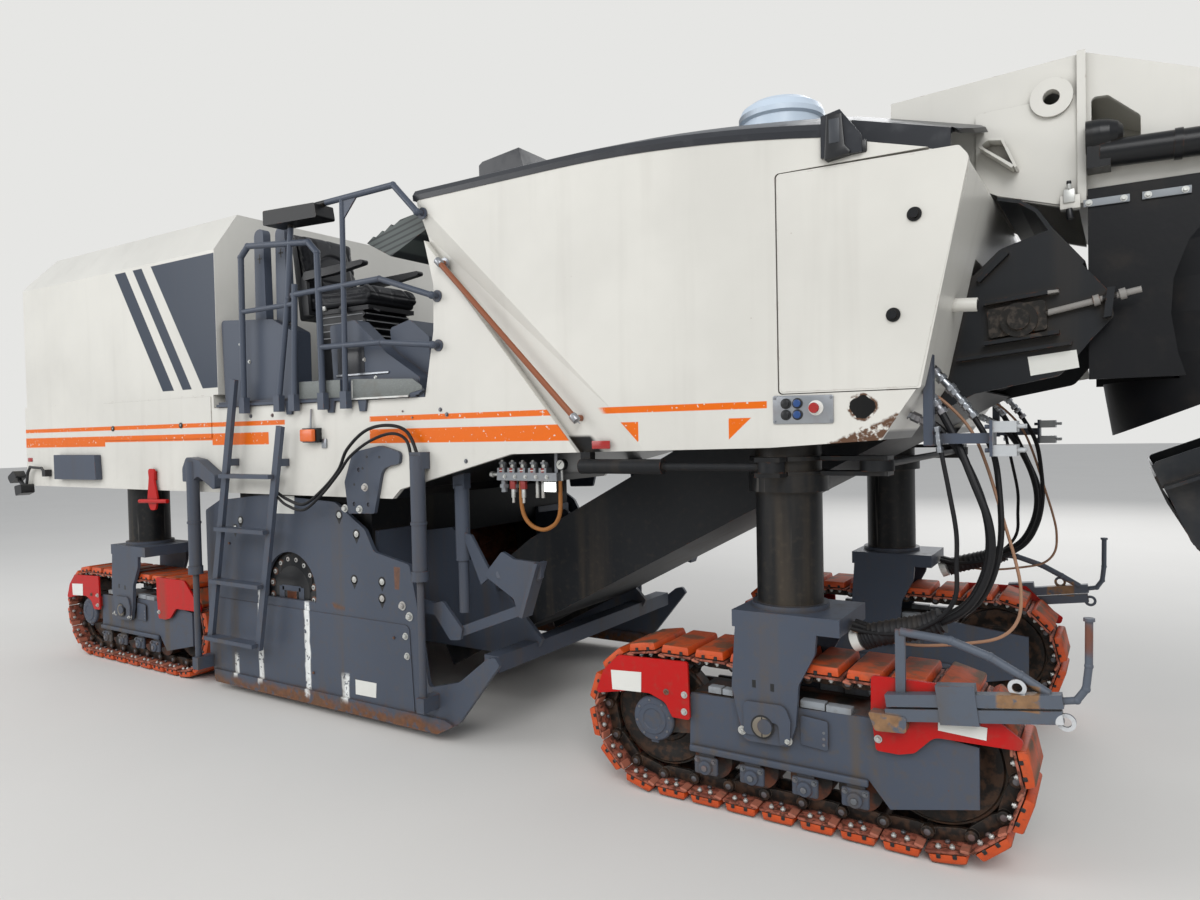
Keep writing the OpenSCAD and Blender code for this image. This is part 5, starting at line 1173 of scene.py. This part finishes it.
def make_wheels():
    """Sprocket teeth, hub covers, roller caps and the hardware of each track's frame."""
    for end, x0 in AXLES:
        for side, sign in SIDES.items():
            gear = Shape("wheels_" + end + side, "leg_" + end + side, slate_frame, "slate_paint")
            for face in (-1, 1):
                y = sign * TRACK_Y + face * 0.175
                out = Vector((0, face, 0))
                # forged roller caps with their bolts
                for rx in (-0.38, -0.14, 0.12, 0.35):
                    place = Vector((x0 + rx, y + face * 0.004, 0.205))
                    gear.use(slate_frame).box(place + Vector((-0.062, -0.012, -0.038)),
                                              place + Vector((0.062, 0.012, 0.05)), 0.011, 3)
                    gear.rod(place - out * 0.008, place + out * 0.026, 0.04, 20, 0.006, 0.034)
                    gear.use(bolt_steel)
                    gear.rod(place, place + out * 0.034, 0.015, 16, 0.003)
                    for dx in (-0.045, 0.045):
                        gear.bolt(place + Vector((dx, 0, 0.034)) + out * 0.012, out, 0.009, True)
                # hub cover of the drive, with its ring of bolts
                place = Vector((x0 - TRACK_RUN, y - face * 0.012, TRACK_RISE))
                gear.use(slate_frame).revolve(HUB_COVER, place, out, 40)
                gear.use(bolt_steel)
                for spot in ring(place, 0.095, 8, 0.2):
                    gear.bolt(spot + out * 0.012, out, 0.0075, False)
                gear.use(slate_frame).box(place + Vector((-0.022, -0.004, -0.128)),
                                          place + Vector((0.022, 0.012, -0.10)), 0.006)
                # ribs and covers on the frame's plate
                plate = y + face * 0.0005
                low, high = sorted((plate, plate + face * 0.014))
                ledge = sorted((plate - face * 0.002, plate + face * 0.022))
                gear.box((x0 - 0.465, ledge[0], 0.272), (x0 + 0.41, ledge[1], 0.306), 0.009, 3)
                cover = outline_of([(x0 + 0.105, 0.41), (x0 + 0.105, 0.545), (x0 + 0.232, 0.535),
                                    (x0 + 0.232, 0.4)], radius=0.012)
                gear.plate(cover, low, 0.005, 0.001)
                gear.use(bolt_steel)
                for k in range(3):
                    gear.bolt((x0 + 0.213, plate + face * 0.005, 0.425 + 0.028 * k), out, 0.008)
                gear.bolt((x0 + 0.12, plate + face * 0.005, 0.53), out, 0.0045, False)
                gear.use(shim_grey)
                low, high = sorted((y, y - face * 0.05))
                for a, b in (((-0.365, 0.575), (-0.295, 0.607)), ((-0.29, 0.575), (-0.235, 0.605)),
                             ((0.1, 0.577), (0.215, 0.612)), ((0.22, 0.575), (0.335, 0.607))):
                    gear.box((x0 + a[0], low, a[1]), (x0 + b[0], high, b[1]), 0.004, 2)
            # teeth of the drive wheel between the links
            gear.use(chain_grease)
            for k in range(SPROCKET_TEETH):
                angle = 2 * math.pi * k / SPROCKET_TEETH
                out = Vector((math.cos(angle), 0, math.sin(angle)))
                across = Vector((-out.z, 0, out.x))
                middle = Vector((x0 - TRACK_RUN, sign * TRACK_Y, TRACK_RISE)) + out * 0.29
                made = bmesh.new()
                bmesh.ops.create_cube(made, size=1.0)
                bmesh.ops.scale(made, vec=(0.05, 0.05, 0.06), verts=made.verts)
                bmesh.ops.scale(made, vec=(0.5, 0.8, 1.0), verts=[v for v in made.verts if v.co.z > 0])
                soften(made, 0.006, 2)
                gear.add(made, Matrix.Translation(middle) @ facing(across, out))
            # wheel rims at both ends
            for end_x in (-TRACK_RUN, TRACK_RUN):
                for face in (-1, 1):
                    place = Vector((x0 + end_x, sign * TRACK_Y + face * 0.036, TRACK_RISE))
                    gear.revolve(WHEEL_RIM, place, (0, face, 0), 48)
            gear.done()


def swell(name, outline, width, seam):
    """A pad's mesh about y = 0: a slab swollen by cloth pressure, with its sewn seams pressed in."""
    raw = Shape(name + "_raw", None, vinyl)
    raw.plate(outline, -width / 2 + PAD_EASE, width - 2 * PAD_EASE, 0.0)
    soften(raw.bm, 0.016, 3)
    body = raw.done()
    scene = bpy.context.scene
    remesh = body.modifiers.new("remesh", "REMESH")
    remesh.mode = "VOXEL"
    remesh.voxel_size = FINE_CELL
    mesh = bpy.data.meshes.new_from_object(body.evaluated_get(bpy.context.evaluated_depsgraph_get()))
    body.modifiers.clear()
    body.data = mesh
    rest = [v.co.copy() for v in mesh.vertices]
    lowest = min(v.z for v in rest)
    pinned = body.vertex_groups.new(name="held")
    pinned.add([i for i, v in enumerate(rest) if v.z < lowest + FINE_CELL], 1.0, "REPLACE")
    cloth = body.modifiers.new("cloth", "CLOTH")
    for key, value in CLOTH.items():
        setattr(cloth.settings, key, value)
    cloth.settings.effector_weights.gravity = 0.0
    cloth.point_cache.frame_start = 1
    cloth.point_cache.frame_end = PAD_FRAMES
    for frame in range(1, PAD_FRAMES + 1):
        scene.frame_set(frame)
    puffed = bpy.data.meshes.new_from_object(body.evaluated_get(bpy.context.evaluated_depsgraph_get()))
    scene.frame_set(1)
    body.modifiers.clear()
    body.vertex_groups.clear()
    for vertex, start, moved in zip(mesh.vertices, rest, puffed.vertices):
        way = moved.co - start
        vertex.co = start + way * min(1.0, PAD_SWELL / max(way.length, 1e-6))
    bpy.data.meshes.remove(puffed)
    normals = [n.vector.copy() for n in mesh.vertex_normals]
    for vertex, normal in zip(mesh.vertices, normals):
        co = vertex.co
        vertex.co = co - normal * seam(Vector((co.x - FRONT, co.y, co.z)), normal)
    mesh.update()
    made = bmesh.new()
    made.from_mesh(mesh)
    bmesh.ops.smooth_vert(made, verts=made.verts, factor=0.4, use_axis_x=True, use_axis_y=True,
                          use_axis_z=True)
    bmesh.ops.translate(made, vec=(-FRONT, 0, 0), verts=made.verts)
    bpy.data.objects.remove(body)
    return made


def groove(distance, depth, width):
    """How far a seam presses the pad in at a distance from its line."""
    return depth * math.exp(-(distance / width) ** 2)


def segment_gap(point, a, b):
    """The distance of a 2-D point from a line between two others."""
    a, b, point = Vector(a), Vector(b), Vector(point)
    t = max(0.0, min(1.0, (point - a).dot(b - a) / (b - a).length_squared))
    return (point - a.lerp(b, t)).length


def seat_seams(place, normal):
    """Lengthwise side bolsters and cross channels on top, and two ribs round the front and sides."""
    bolster = channels = ribs = 0.0
    if normal.z > 0.4:
        bolster = groove(abs(abs(place.y) - 0.150), 0.012, 0.011)
        if abs(place.y) < 0.15:
            channels = max(groove(abs(place.x - x), 0.008, 0.010) for x in (-3.27, -3.12, -2.97))
    if normal.z < 0.6:
        ribs = max(groove(abs(place.z - z - (place.x + 3.2) * -0.05), 0.007, 0.008) for z in (2.80, 2.845))
    return max(bolster, channels, ribs)


# Ends of the curved folds on the backrest's sides
SIDE_FOLDS = (
    ((-3.60, 3.20), (-3.49, 3.10)), ((-3.57, 3.11), (-3.47, 2.99)),
    ((-3.47, 2.99), (-3.50, 2.90)), ((-3.50, 2.90), (-3.43, 2.84)),
)


def back_seams(place, normal):
    """Side bolsters on the backrest, an arc below the headrest, and curved folds on its sides."""
    height = place.z
    bolster = arc = low = folds = 0.0
    if normal.x > 0.3:
        waist = 0.125 + 0.03 * math.sin((height - 2.76) * 5.0)
        bolster = groove(abs(abs(place.y) - waist), 0.012, 0.011)
        arc = groove(abs(height - 3.17 + place.y * place.y * 3.0), 0.012, 0.010)
        low = groove(abs(height - 2.97), 0.009, 0.010) if abs(place.y) < 0.13 else 0.0
    if abs(normal.y) > 0.6:
        point = (place.x, height)
        folds = max(groove(segment_gap(point, a, b), 0.008, 0.009) for a, b in SIDE_FOLDS)
    return max(bolster, arc, low, folds)


def make_seats():
    """Padded seat and back of both operator's seats."""
    seat = outline_of([(-3.386, 2.757), (-2.9, 2.757, 0.02), (-2.842, 2.815, 0.03), (-2.88, 2.882, 0.04),
                       (-3.383, 2.868)])
    back = outline_of([(-3.42, 2.768, 0.02), (-3.405, 2.89), (-3.452, 3.078, 0.06), (-3.508, 3.30, 0.04),
                       (-3.626, 3.318, 0.03), (-3.517, 2.768, 0.02)])
    for kind, outline, width, seam in (("seat", seat, 0.47, seat_seams), ("back", back, 0.43, back_seams)):
        made = swell(kind + "_pad", outline, width, seam)
        whole = bpy.data.meshes.new("pad")
        made.to_mesh(whole)
        made.free()
        for side, sign in SIDES.items():
            pad = Shape(kind + "_pad_" + side, "machine", vinyl, "seat_cover")
            fresh = bmesh.new()
            fresh.from_mesh(whole)
            pad.add(fresh, Matrix.Translation((0.0, sign * SEAT_Y, 0.0)))
            piece = pad.done(1.2)
            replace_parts(piece, "seat_cushions")
        bpy.data.meshes.remove(whole)


def make_guard_hardware():
    """Blank labels, bolts and washers on the red guards, and the marks of each track's fork."""
    for end, x0 in AXLES:
        for side, sign in SIDES.items():
            out = Vector((0, sign, 0))
            name, body = end + side, "leg_" + end + side
            kit = Shape("guard_hardware_" + name, body, label_white, "slate_paint")
            low = 1.2352 if sign > 0 else -1.2376
            kit.plate([(x0 - 0.907, 0.622), (x0 - 0.725, 0.634), (x0 - 0.728, 0.531), (x0 - 0.9, 0.521)],
                      low, 0.0024, 0)
            if end == "f":
                kit.plate([(0.707, 0.64), (0.896, 0.63), (0.892, 0.577), (0.706, 0.587)], low, 0.0024, 0)
            kit.use(zinc)
            kit.bolts(((-0.482, 0.554), (-0.484, 0.469), (0.459, 0.505)), sign * GUARD_FACE, 0.0115,
                      True, 0.004, x0)
            kit.use(rust_steel).bolts(((-0.583, 0.554),), sign * GUARD_FACE, 0.0105, shift=x0)
            # slots shown as black boxes, which are painted shade; the half disc of the swing pin and bright
            # bolts on the fork
            kit.use(black_parts_and_shade)
            for x, z in ((-0.108, 0.668), (-0.018, 0.662)):
                kit.side_box(sign, (x0 + x - 0.010, 1.244, z - 0.019), (x0 + x + 0.010, 1.2482, z + 0.019))
            pin = Vector((x0 - 0.0655, sign * 1.258, 0.474))
            kit.rod(pin, pin + out * 0.0045, 0.056, 32, 0.001)
            kit.use(worn_pin).rod(pin, pin + out * 0.007, 0.048, 32, 0.003)
            kit.use(black_parts_and_shade).box(pin + Vector((-0.003, -0.0076, -0.047)),
                                      pin + Vector((0.003, 0.0076, 0.047)), 0.001, 1)
            kit.use(zinc)
            kit.bolts(((-0.171, 0.437), (0.055, 0.426)), sign * FORK_FACE, 0.014, True, 0.012, x0)
            kit.done()


def make_side_plate_hardware():
    """Bolts on black discs painted as the shade of their recesses, the blank labels and the hub's ring of
    bolts behind the window.
    """
    for side, sign in SIDES.items():
        out = Vector((0, sign, 0))
        kit = Shape("side_plate_hardware_" + side, "side_plate_" + side, black_parts_and_shade, "slate_paint")
        # Under each bolt, a flat black disc with a black tail below it: painted shade of the bolt's recess.
        for x, z in ((-3.009, 1.356), (-2.848, 1.237), (-2.88, 0.938), (-2.623, 0.944), (-2.627, 0.836),
                     (-4.074, 1.278), (-4.141, 1.217)):
            flat = sign * PLATE_FACE
            kit.use(black_parts_and_shade)
            kit.rod((x, flat, z), (x, flat + sign * 0.0018, z), 0.032, 24)
            kit.plate([(x - 0.03, z - 0.008), (x + 0.03, z - 0.008), (x, z - 0.062)],
                      min(flat, flat + sign * 0.0018), 0.0018, 0)
            kit.use(zinc).rod((x, flat, z), (x, flat + sign * 0.0038, z), 0.0205, 20, 0.001)
            kit.rod((x, flat, z), (x, flat + sign * 0.0062, z), 0.0125, 6, 0.0005)
        kit.use(zinc)
        kit.bolts(((-2.446, 0.807), (-2.386, 0.746)), sign * PLATE_FACE, 0.019, True, 0.006)
        kit.bolts(((-2.42, 0.62), (-2.41, 0.496)), sign * STRIP_FACE, 0.015, True, 0.004)
        kit.use(rust_steel)
        kit.bolts(((-4.213, 1.104),), sign * PLATE_FACE, 0.009, False)
        kit.bolts(((-2.52, 0.6), (-3.3, 0.27)), sign * STRIP_FACE, 0.009, False)
        kit.use(label_white)
        low = 1.2138 if sign > 0 else -1.2155
        kit.plate([(-3.703, 1.469), (-3.46, 1.471), (-3.466, 1.347), (-3.709, 1.343)], low, 0.0017, 0)
        low = 1.2198 if sign > 0 else -1.2215
        kit.plate([(-2.888, 0.282), (-2.692, 0.285), (-2.7, 0.189), (-2.889, 0.185)], low, 0.0017, 0)
        kit.done()

        hub = Shape("hub_hardware_" + side, "machine", black_parts_and_shade, "slate_paint")
        middle = Vector((-3.55, sign * 1.13, 0.80))
        hub.revolve([(0.0, 0.0505), (0.176, 0.0505), (0.182, 0.044), (0.26, 0.044), (0.262, 0.0),
                     (0.0, 0.0)], middle, out, 64)
        for place in ring(middle + out * 0.043, 0.225, 16, 0.19):
            hub.use(rust_steel).rod(place, place + out * 0.005, 0.026, 16)
            hub.use(zinc).rod(place, place + out * 0.0115, 0.0165, 16, 0.002)
            hub.use(black_parts_and_shade).rod(place, place + out * 0.0118, 0.0075, 6)
        hub.use(slate)
        for x in (-3.665, -3.455):
            hub.side_box(sign, (x - 0.055 / 2, 1.18, 0.66), (x + 0.055 / 2, 1.185, 0.83))
        hub.side_box(sign, (-3.66, 1.18, 0.80), (-3.46, 1.185, 0.838))
        hub.use(rust_steel).side_box(sign, (-3.61, 1.178, 0.66), (-3.51, 1.183, 0.80))
        hub.done()

    brackets = Shape("bracket_hardware", "machine", zinc)
    brackets.bolts(((-2.809, 1.417), (-2.675, 1.415), (-2.622, 1.554)), -BRACKET_FACE, 0.017)
    for x, z in ((-2.60, 1.744), (-2.49, 1.742), (-2.64, 1.672), (-2.72, 1.57)):
        brackets.use(black_parts_and_shade).rod((x, -1.331, z), (x, -1.3325, z), 0.0085, 12)
    brackets.both_sides().done()


def make_operator_details():
    """Speckled tread plates, marks on the consoles, and the seats' bellows and levers."""
    treads = Shape("tread_plates", "machine", tread_speckle)
    for outline in ([(-3.295, 2.13), (-3.295, 2.243), (-2.89, 2.238), (-2.89, 2.125)],
                    [(-2.785, 2.112), (-2.785, 2.238), (-2.25, 2.213), (-2.172, 2.168), (-2.172, 2.145),
                     (-2.27, 2.128), (-2.285, 2.104)]):
        treads.use(tread_speckle).plate(outline, -1.277, 0.004, 0.001)
    treads.use(zinc)
    treads.box((-2.785, -1.279, 2.104), (-2.285, -1.2735, 2.116), 0.001, 1)
    treads.box((-2.785, -1.279, 2.228), (-2.772, -1.2735, 2.112), 0.001, 1)
    treads.both_sides().done()

    marks = Shape("console_marks", "machine", black_parts_and_shade)
    for x, y, z in ((-3.765, -1.2115, 3.134), (-3.585, -1.1715, 3.16)):
        marks.box((x - 0.006, y, z - 0.032), (x + 0.006, y + 0.003, z + 0.032), 0.001, 1)
        marks.box((x - 0.024, y, z - 0.006), (x + 0.024, y + 0.003, z + 0.006), 0.001, 1)
    marks.use(zinc)
    marks.bolts(((-4.0, 2.55), (-3.9, 2.42), (-3.52, 2.48), (-2.72, 2.36), (-2.62, 2.24), (-3.98, 2.3)),
                -1.2205, 0.009)
    marks.use(cover_black).box((-2.97, -1.2235, 2.28), (-2.72, -1.2195, 2.48), 0.006, 2)
    marks.use(plated).box((-2.98, -1.229, 2.262), (-2.5, -1.2195, 2.276), 0.002, 1)
    marks.both_sides().done()

    seats = Shape("seat_details", "machine", seat_edge)
    for z in (2.505, 2.553, 2.601, 2.649, 2.697):
        for y in (-1.022, -0.618):
            seats.use(seat_edge).box((-3.40, y - 0.003, z - 0.004), (-2.945, y + 0.003, z + 0.004),
                                     0.002, 1)
        seats.box((-2.918, -1.015, z - 0.004), (-2.912, -0.625, z + 0.004), 0.002, 1)
    seats.use(black_parts_and_shade)
    seats.tube([(-2.93, -0.98, 2.735), (-2.86, -1.0, 2.725), (-2.80, -1.0, 2.70)], 0.008, 10, 0.02)
    seats.rod((-3.1, -1.03, 2.735), (-3.1, -1.075, 2.735), 0.022, 20, 0.004)
    seats.use(zinc).box((-3.33, -1.045, 2.745), (-3.29, -1.03, 2.80), 0.003)
    seats.both_sides().done()


def make_valves():
    """Spools, gauge, work lamp face and hoses of the valve block under the side skin."""
    kit = Shape("valve_details", "machine", zinc)
    for k in range(5):
        x = -1.69 + 0.075 * k
        kit.use(valve_red).rod((x, -1.13, 1.647), (x, -1.13, 1.672), 0.021, 6, 0.002)
        kit.use(label_white).rod((x, -1.13, 1.655), (x, -1.13, 1.66), 0.0225, 6)
        kit.use(zinc).rod((x, -1.13, 1.672), (x, -1.13, 1.69), 0.014, 6, 0.001)
        kit.rod((x, -1.13, 1.69), (x, -1.13, 1.716), 0.0095, 12)
        kit.bolt((x + 0.032, -1.151, 1.622), RIGHT, 0.008)
    for x in (-1.615, -1.54):
        kit.use(valve_red).rod((x, -1.125, 1.6), (x, -1.125, 1.55), 0.0215, 6, 0.002)
        kit.use(zinc).rod((x, -1.125, 1.55), (x, -1.125, 1.5), 0.013, 6, 0.001)
        kit.rod((x, -1.125, 1.5), (x, -1.125, 1.47), 0.008, 12)
    for x in (-1.46, -1.42):
        kit.rod((x, -1.1, 1.6), (x, -1.1, 1.5), 0.011, 6, 0.001)
    kit.rod((-1.72, -1.1, 1.63), (-1.78, -1.1, 1.632), 0.012, 6, 0.001)
    kit.rod((-1.78, -1.1, 1.632), (-1.80, -1.1, 1.632), 0.018, 6, 0.001)
    # gauge on a short pipe
    kit.rod((-1.288, -1.1, 1.6), (-1.288, -1.1, 1.665), 0.007, 10)
    kit.use(black_parts_and_shade).rod((-1.288, -1.115, 1.690), (-1.288, -1.08, 1.690), 0.032, 32, 0.003)
    kit.use(label_white).rod((-1.288, -1.1162, 1.690), (-1.288, -1.114, 1.690), 0.026, 32)
    kit.use(black_parts_and_shade).box((-1.290, -1.1175, 1.684), (-1.286, -1.116, 1.712), 0.0005, 1,
                              Matrix.Rotation(0.8, 4, "Y"))
    # work lamp face
    kit.use(lamp_face).box((-1.372, -1.159, 1.541), (-1.293, -1.1505, 1.594), 0.006, 3)
    kit.both_sides().done()
    for side, sign in SIDES.items():
        hose("valve_loop_" + side, VALVE_LOOP, 0.012, tan_hose, sign)


def make_front_details():
    """Door seals, the vents on the cowl, strips that hold the shroud, the blank label and a sensor."""
    for side, sign in SIDES.items():
        seal = Shape("door_seal_" + side, "door_" + side, cream_door, "cream_paint")
        outline = outline_of([(0.0405, 3.0225, 0.018), (0.0405, 2.0265, 0.018), (0.655, 2.0265, 0.01),
                              (0.8535, 2.955, 0.045), (0.815, 3.0035, 0.02)])
        seal.plate(outline, 1.2265 if sign > 0 else -1.2485, 0.022, 0)
        seal.done()

    vent = Shape("cowl_vents", "machine", black_parts_and_shade)
    vent.plate(outline_of([(0.284, 3.232), (0.352, 3.226), (0.364, 3.085), (0.396, 3.045),
                           (0.272, 3.03)], radius=0.01), -1.285, 0.06, 0.006)
    vent.use(moulded_grey).box((0.296, -1.2875, 3.10), (0.343, -1.283, 3.205), 0.004, 2)
    vent.use(black_parts_and_shade).box((0.365, -1.262, 3.045), (0.45, -1.24, 3.10), 0.008, 2)
    vent.both_sides().done()

    strips = Shape("shroud_strips", "machine", zinc)
    for low, high in ((1.223, 1.40), (1.445, 1.622)):
        strips.use(shim_grey).box((low, -0.5515, 2.833), (high, -0.541, 2.866), 0.002)
        strips.use(zinc)
        strips.bolts(((low + 0.022, 2.85), (high - 0.022, 2.85)), -0.5515, 0.0095)
    strips.use(label_white).plate([(1.0, 2.172), (1.195, 2.192), (1.206, 2.112), (1.012, 2.085)],
                                  -0.6218, 0.0014, 0)
    strips.use(cream_plain)
    strips.rod((0.60, -0.9, 2.412), (0.83, -0.9, 2.397), 0.0305, 28, 0.002)
    strips.use(black_parts_and_shade).rod((0.828, -0.9, 2.397), (0.8315, -0.9, 2.397), 0.026, 24)
    strips.both_sides().done()

    sensor = Shape("sensor_block", "machine", cream_plain)
    sensor.box((1.13, -0.545, 2.838), (1.212, -0.495, 2.90), 0.004)
    sensor.use(zinc).box((1.145, -0.555, 2.865), (1.19, -0.54, 2.925), 0.003)
    sensor.rod((1.167, -0.548, 2.925), (1.167, -0.548, 2.948), 0.012, 6, 0.001)
    sensor.use(black_parts_and_shade).rod((1.167, -0.548, 2.838), (1.172, -0.548, 2.79), 0.014, 20, 0.003)
    sensor.rod((1.167, -0.548, 2.948), (1.167, -0.548, 2.963), 0.010, 16, 0.002)
    sensor.done()


PIECES = (
    make_tracks, make_wheels, make_grab_rails, make_side_fittings, make_panel_hardware, make_lift_hoses,
    make_drive_hoses, make_seats, make_front_details, make_guard_hardware, make_side_plate_hardware,
    make_operator_details, make_valves,
)
for make_pieces in PIECES:
    make_pieces()


# The stage
def make_stage():
    ground = Finish("pale_floor")
    ground.set(Base_Color=ground.mix(ground.noise(0.6, 3.0), tone("dcdad6"), tone("e2e0dc")), Roughness=0.8)
    bm = bmesh.new()
    bmesh.ops.create_grid(bm, x_segments=1, y_segments=1, size=70.0)
    mesh = bpy.data.meshes.new("floor")
    bm.to_mesh(mesh)
    bm.free()
    mesh.materials.append(ground.material)
    floor = bpy.data.objects.new("floor", mesh)
    floor.location.z = -0.002
    bpy.context.scene.collection.objects.link(floor)

    world = bpy.data.worlds.new("studio")
    bpy.context.scene.world = world
    world.use_nodes = True
    nodes = world.node_tree.nodes
    links = world.node_tree.links
    nodes.clear()
    light = nodes.new("ShaderNodeBackground")
    light.inputs[0].default_value = (0.93, 0.96, 1.0, 1.0)
    light.inputs[1].default_value = 0.57
    backdrop = nodes.new("ShaderNodeBackground")
    backdrop.inputs[0].default_value = tone("e6e6e4")
    backdrop.inputs[1].default_value = 1.0
    ray = nodes.new("ShaderNodeLightPath")
    seen = nodes.new("ShaderNodeMath")
    seen.operation = "MAXIMUM"
    links.new(ray.outputs["Is Camera Ray"], seen.inputs[0])
    links.new(ray.outputs["Is Transmission Ray"], seen.inputs[1])
    choose = nodes.new("ShaderNodeMixShader")
    links.new(seen.outputs[0], choose.inputs[0])
    links.new(light.outputs[0], choose.inputs[1])
    links.new(backdrop.outputs[0], choose.inputs[2])
    out = nodes.new("ShaderNodeOutputWorld")
    links.new(choose.outputs[0], out.inputs[0])

    # name, place, aimed at, size, power
    for name, place, target, size, power in (
        ("key_light", (5.0, -13.0, 11.0), (0.0, 0.0, 1.5), 9.0, 1420.0),
        ("fill_light", (-11.0, -9.0, 6.0), (-2.0, 0.0, 1.5), 7.0, 450.0),
        ("back_light", (0.0, 13.0, 9.0), (0.0, 0.0, 2.0), 9.0, 700.0),
    ):
        data = bpy.data.lights.new(name, "AREA")
        data.size = size
        data.energy = power
        lamp = bpy.data.objects.new(name, data)
        lamp.location = place
        lamp.rotation_euler = (Vector(target) - Vector(place)).to_track_quat("-Z", "Y").to_euler()
        bpy.context.scene.collection.objects.link(lamp)


def make_camera():
    """The photograph's viewpoint, beside the tank at the height of a person's eyes."""
    yaw, pitch, roll = VIEW_ANGLES
    ahead = Vector((-math.sin(yaw), math.cos(yaw), 0.0))
    across = Vector((math.cos(yaw), math.sin(yaw), 0.0))
    upward = Vector((0.0, 0.0, 1.0))
    look = ahead * math.cos(pitch) + upward * math.sin(pitch)
    level_up = upward * math.cos(pitch) - ahead * math.sin(pitch)
    right = across * math.cos(roll) + level_up * math.sin(roll)
    up = level_up * math.cos(roll) - across * math.sin(roll)
    data = bpy.data.cameras.new("camera")
    data.sensor_width = 36.0
    data.lens = FOCAL_LENGTH
    data.clip_start = 0.05
    data.clip_end = 200.0
    camera = bpy.data.objects.new("camera", data)
    turn = Matrix((right, up, -look)).transposed().to_4x4()
    camera.matrix_world = Matrix.Translation((FRONT + EYE[0], EYE[1], EYE[2])) @ turn
    bpy.context.scene.collection.objects.link(camera)
    bpy.context.scene.camera = camera


make_stage()
make_camera()
bpy.context.scene.view_settings.view_transform = "Standard"
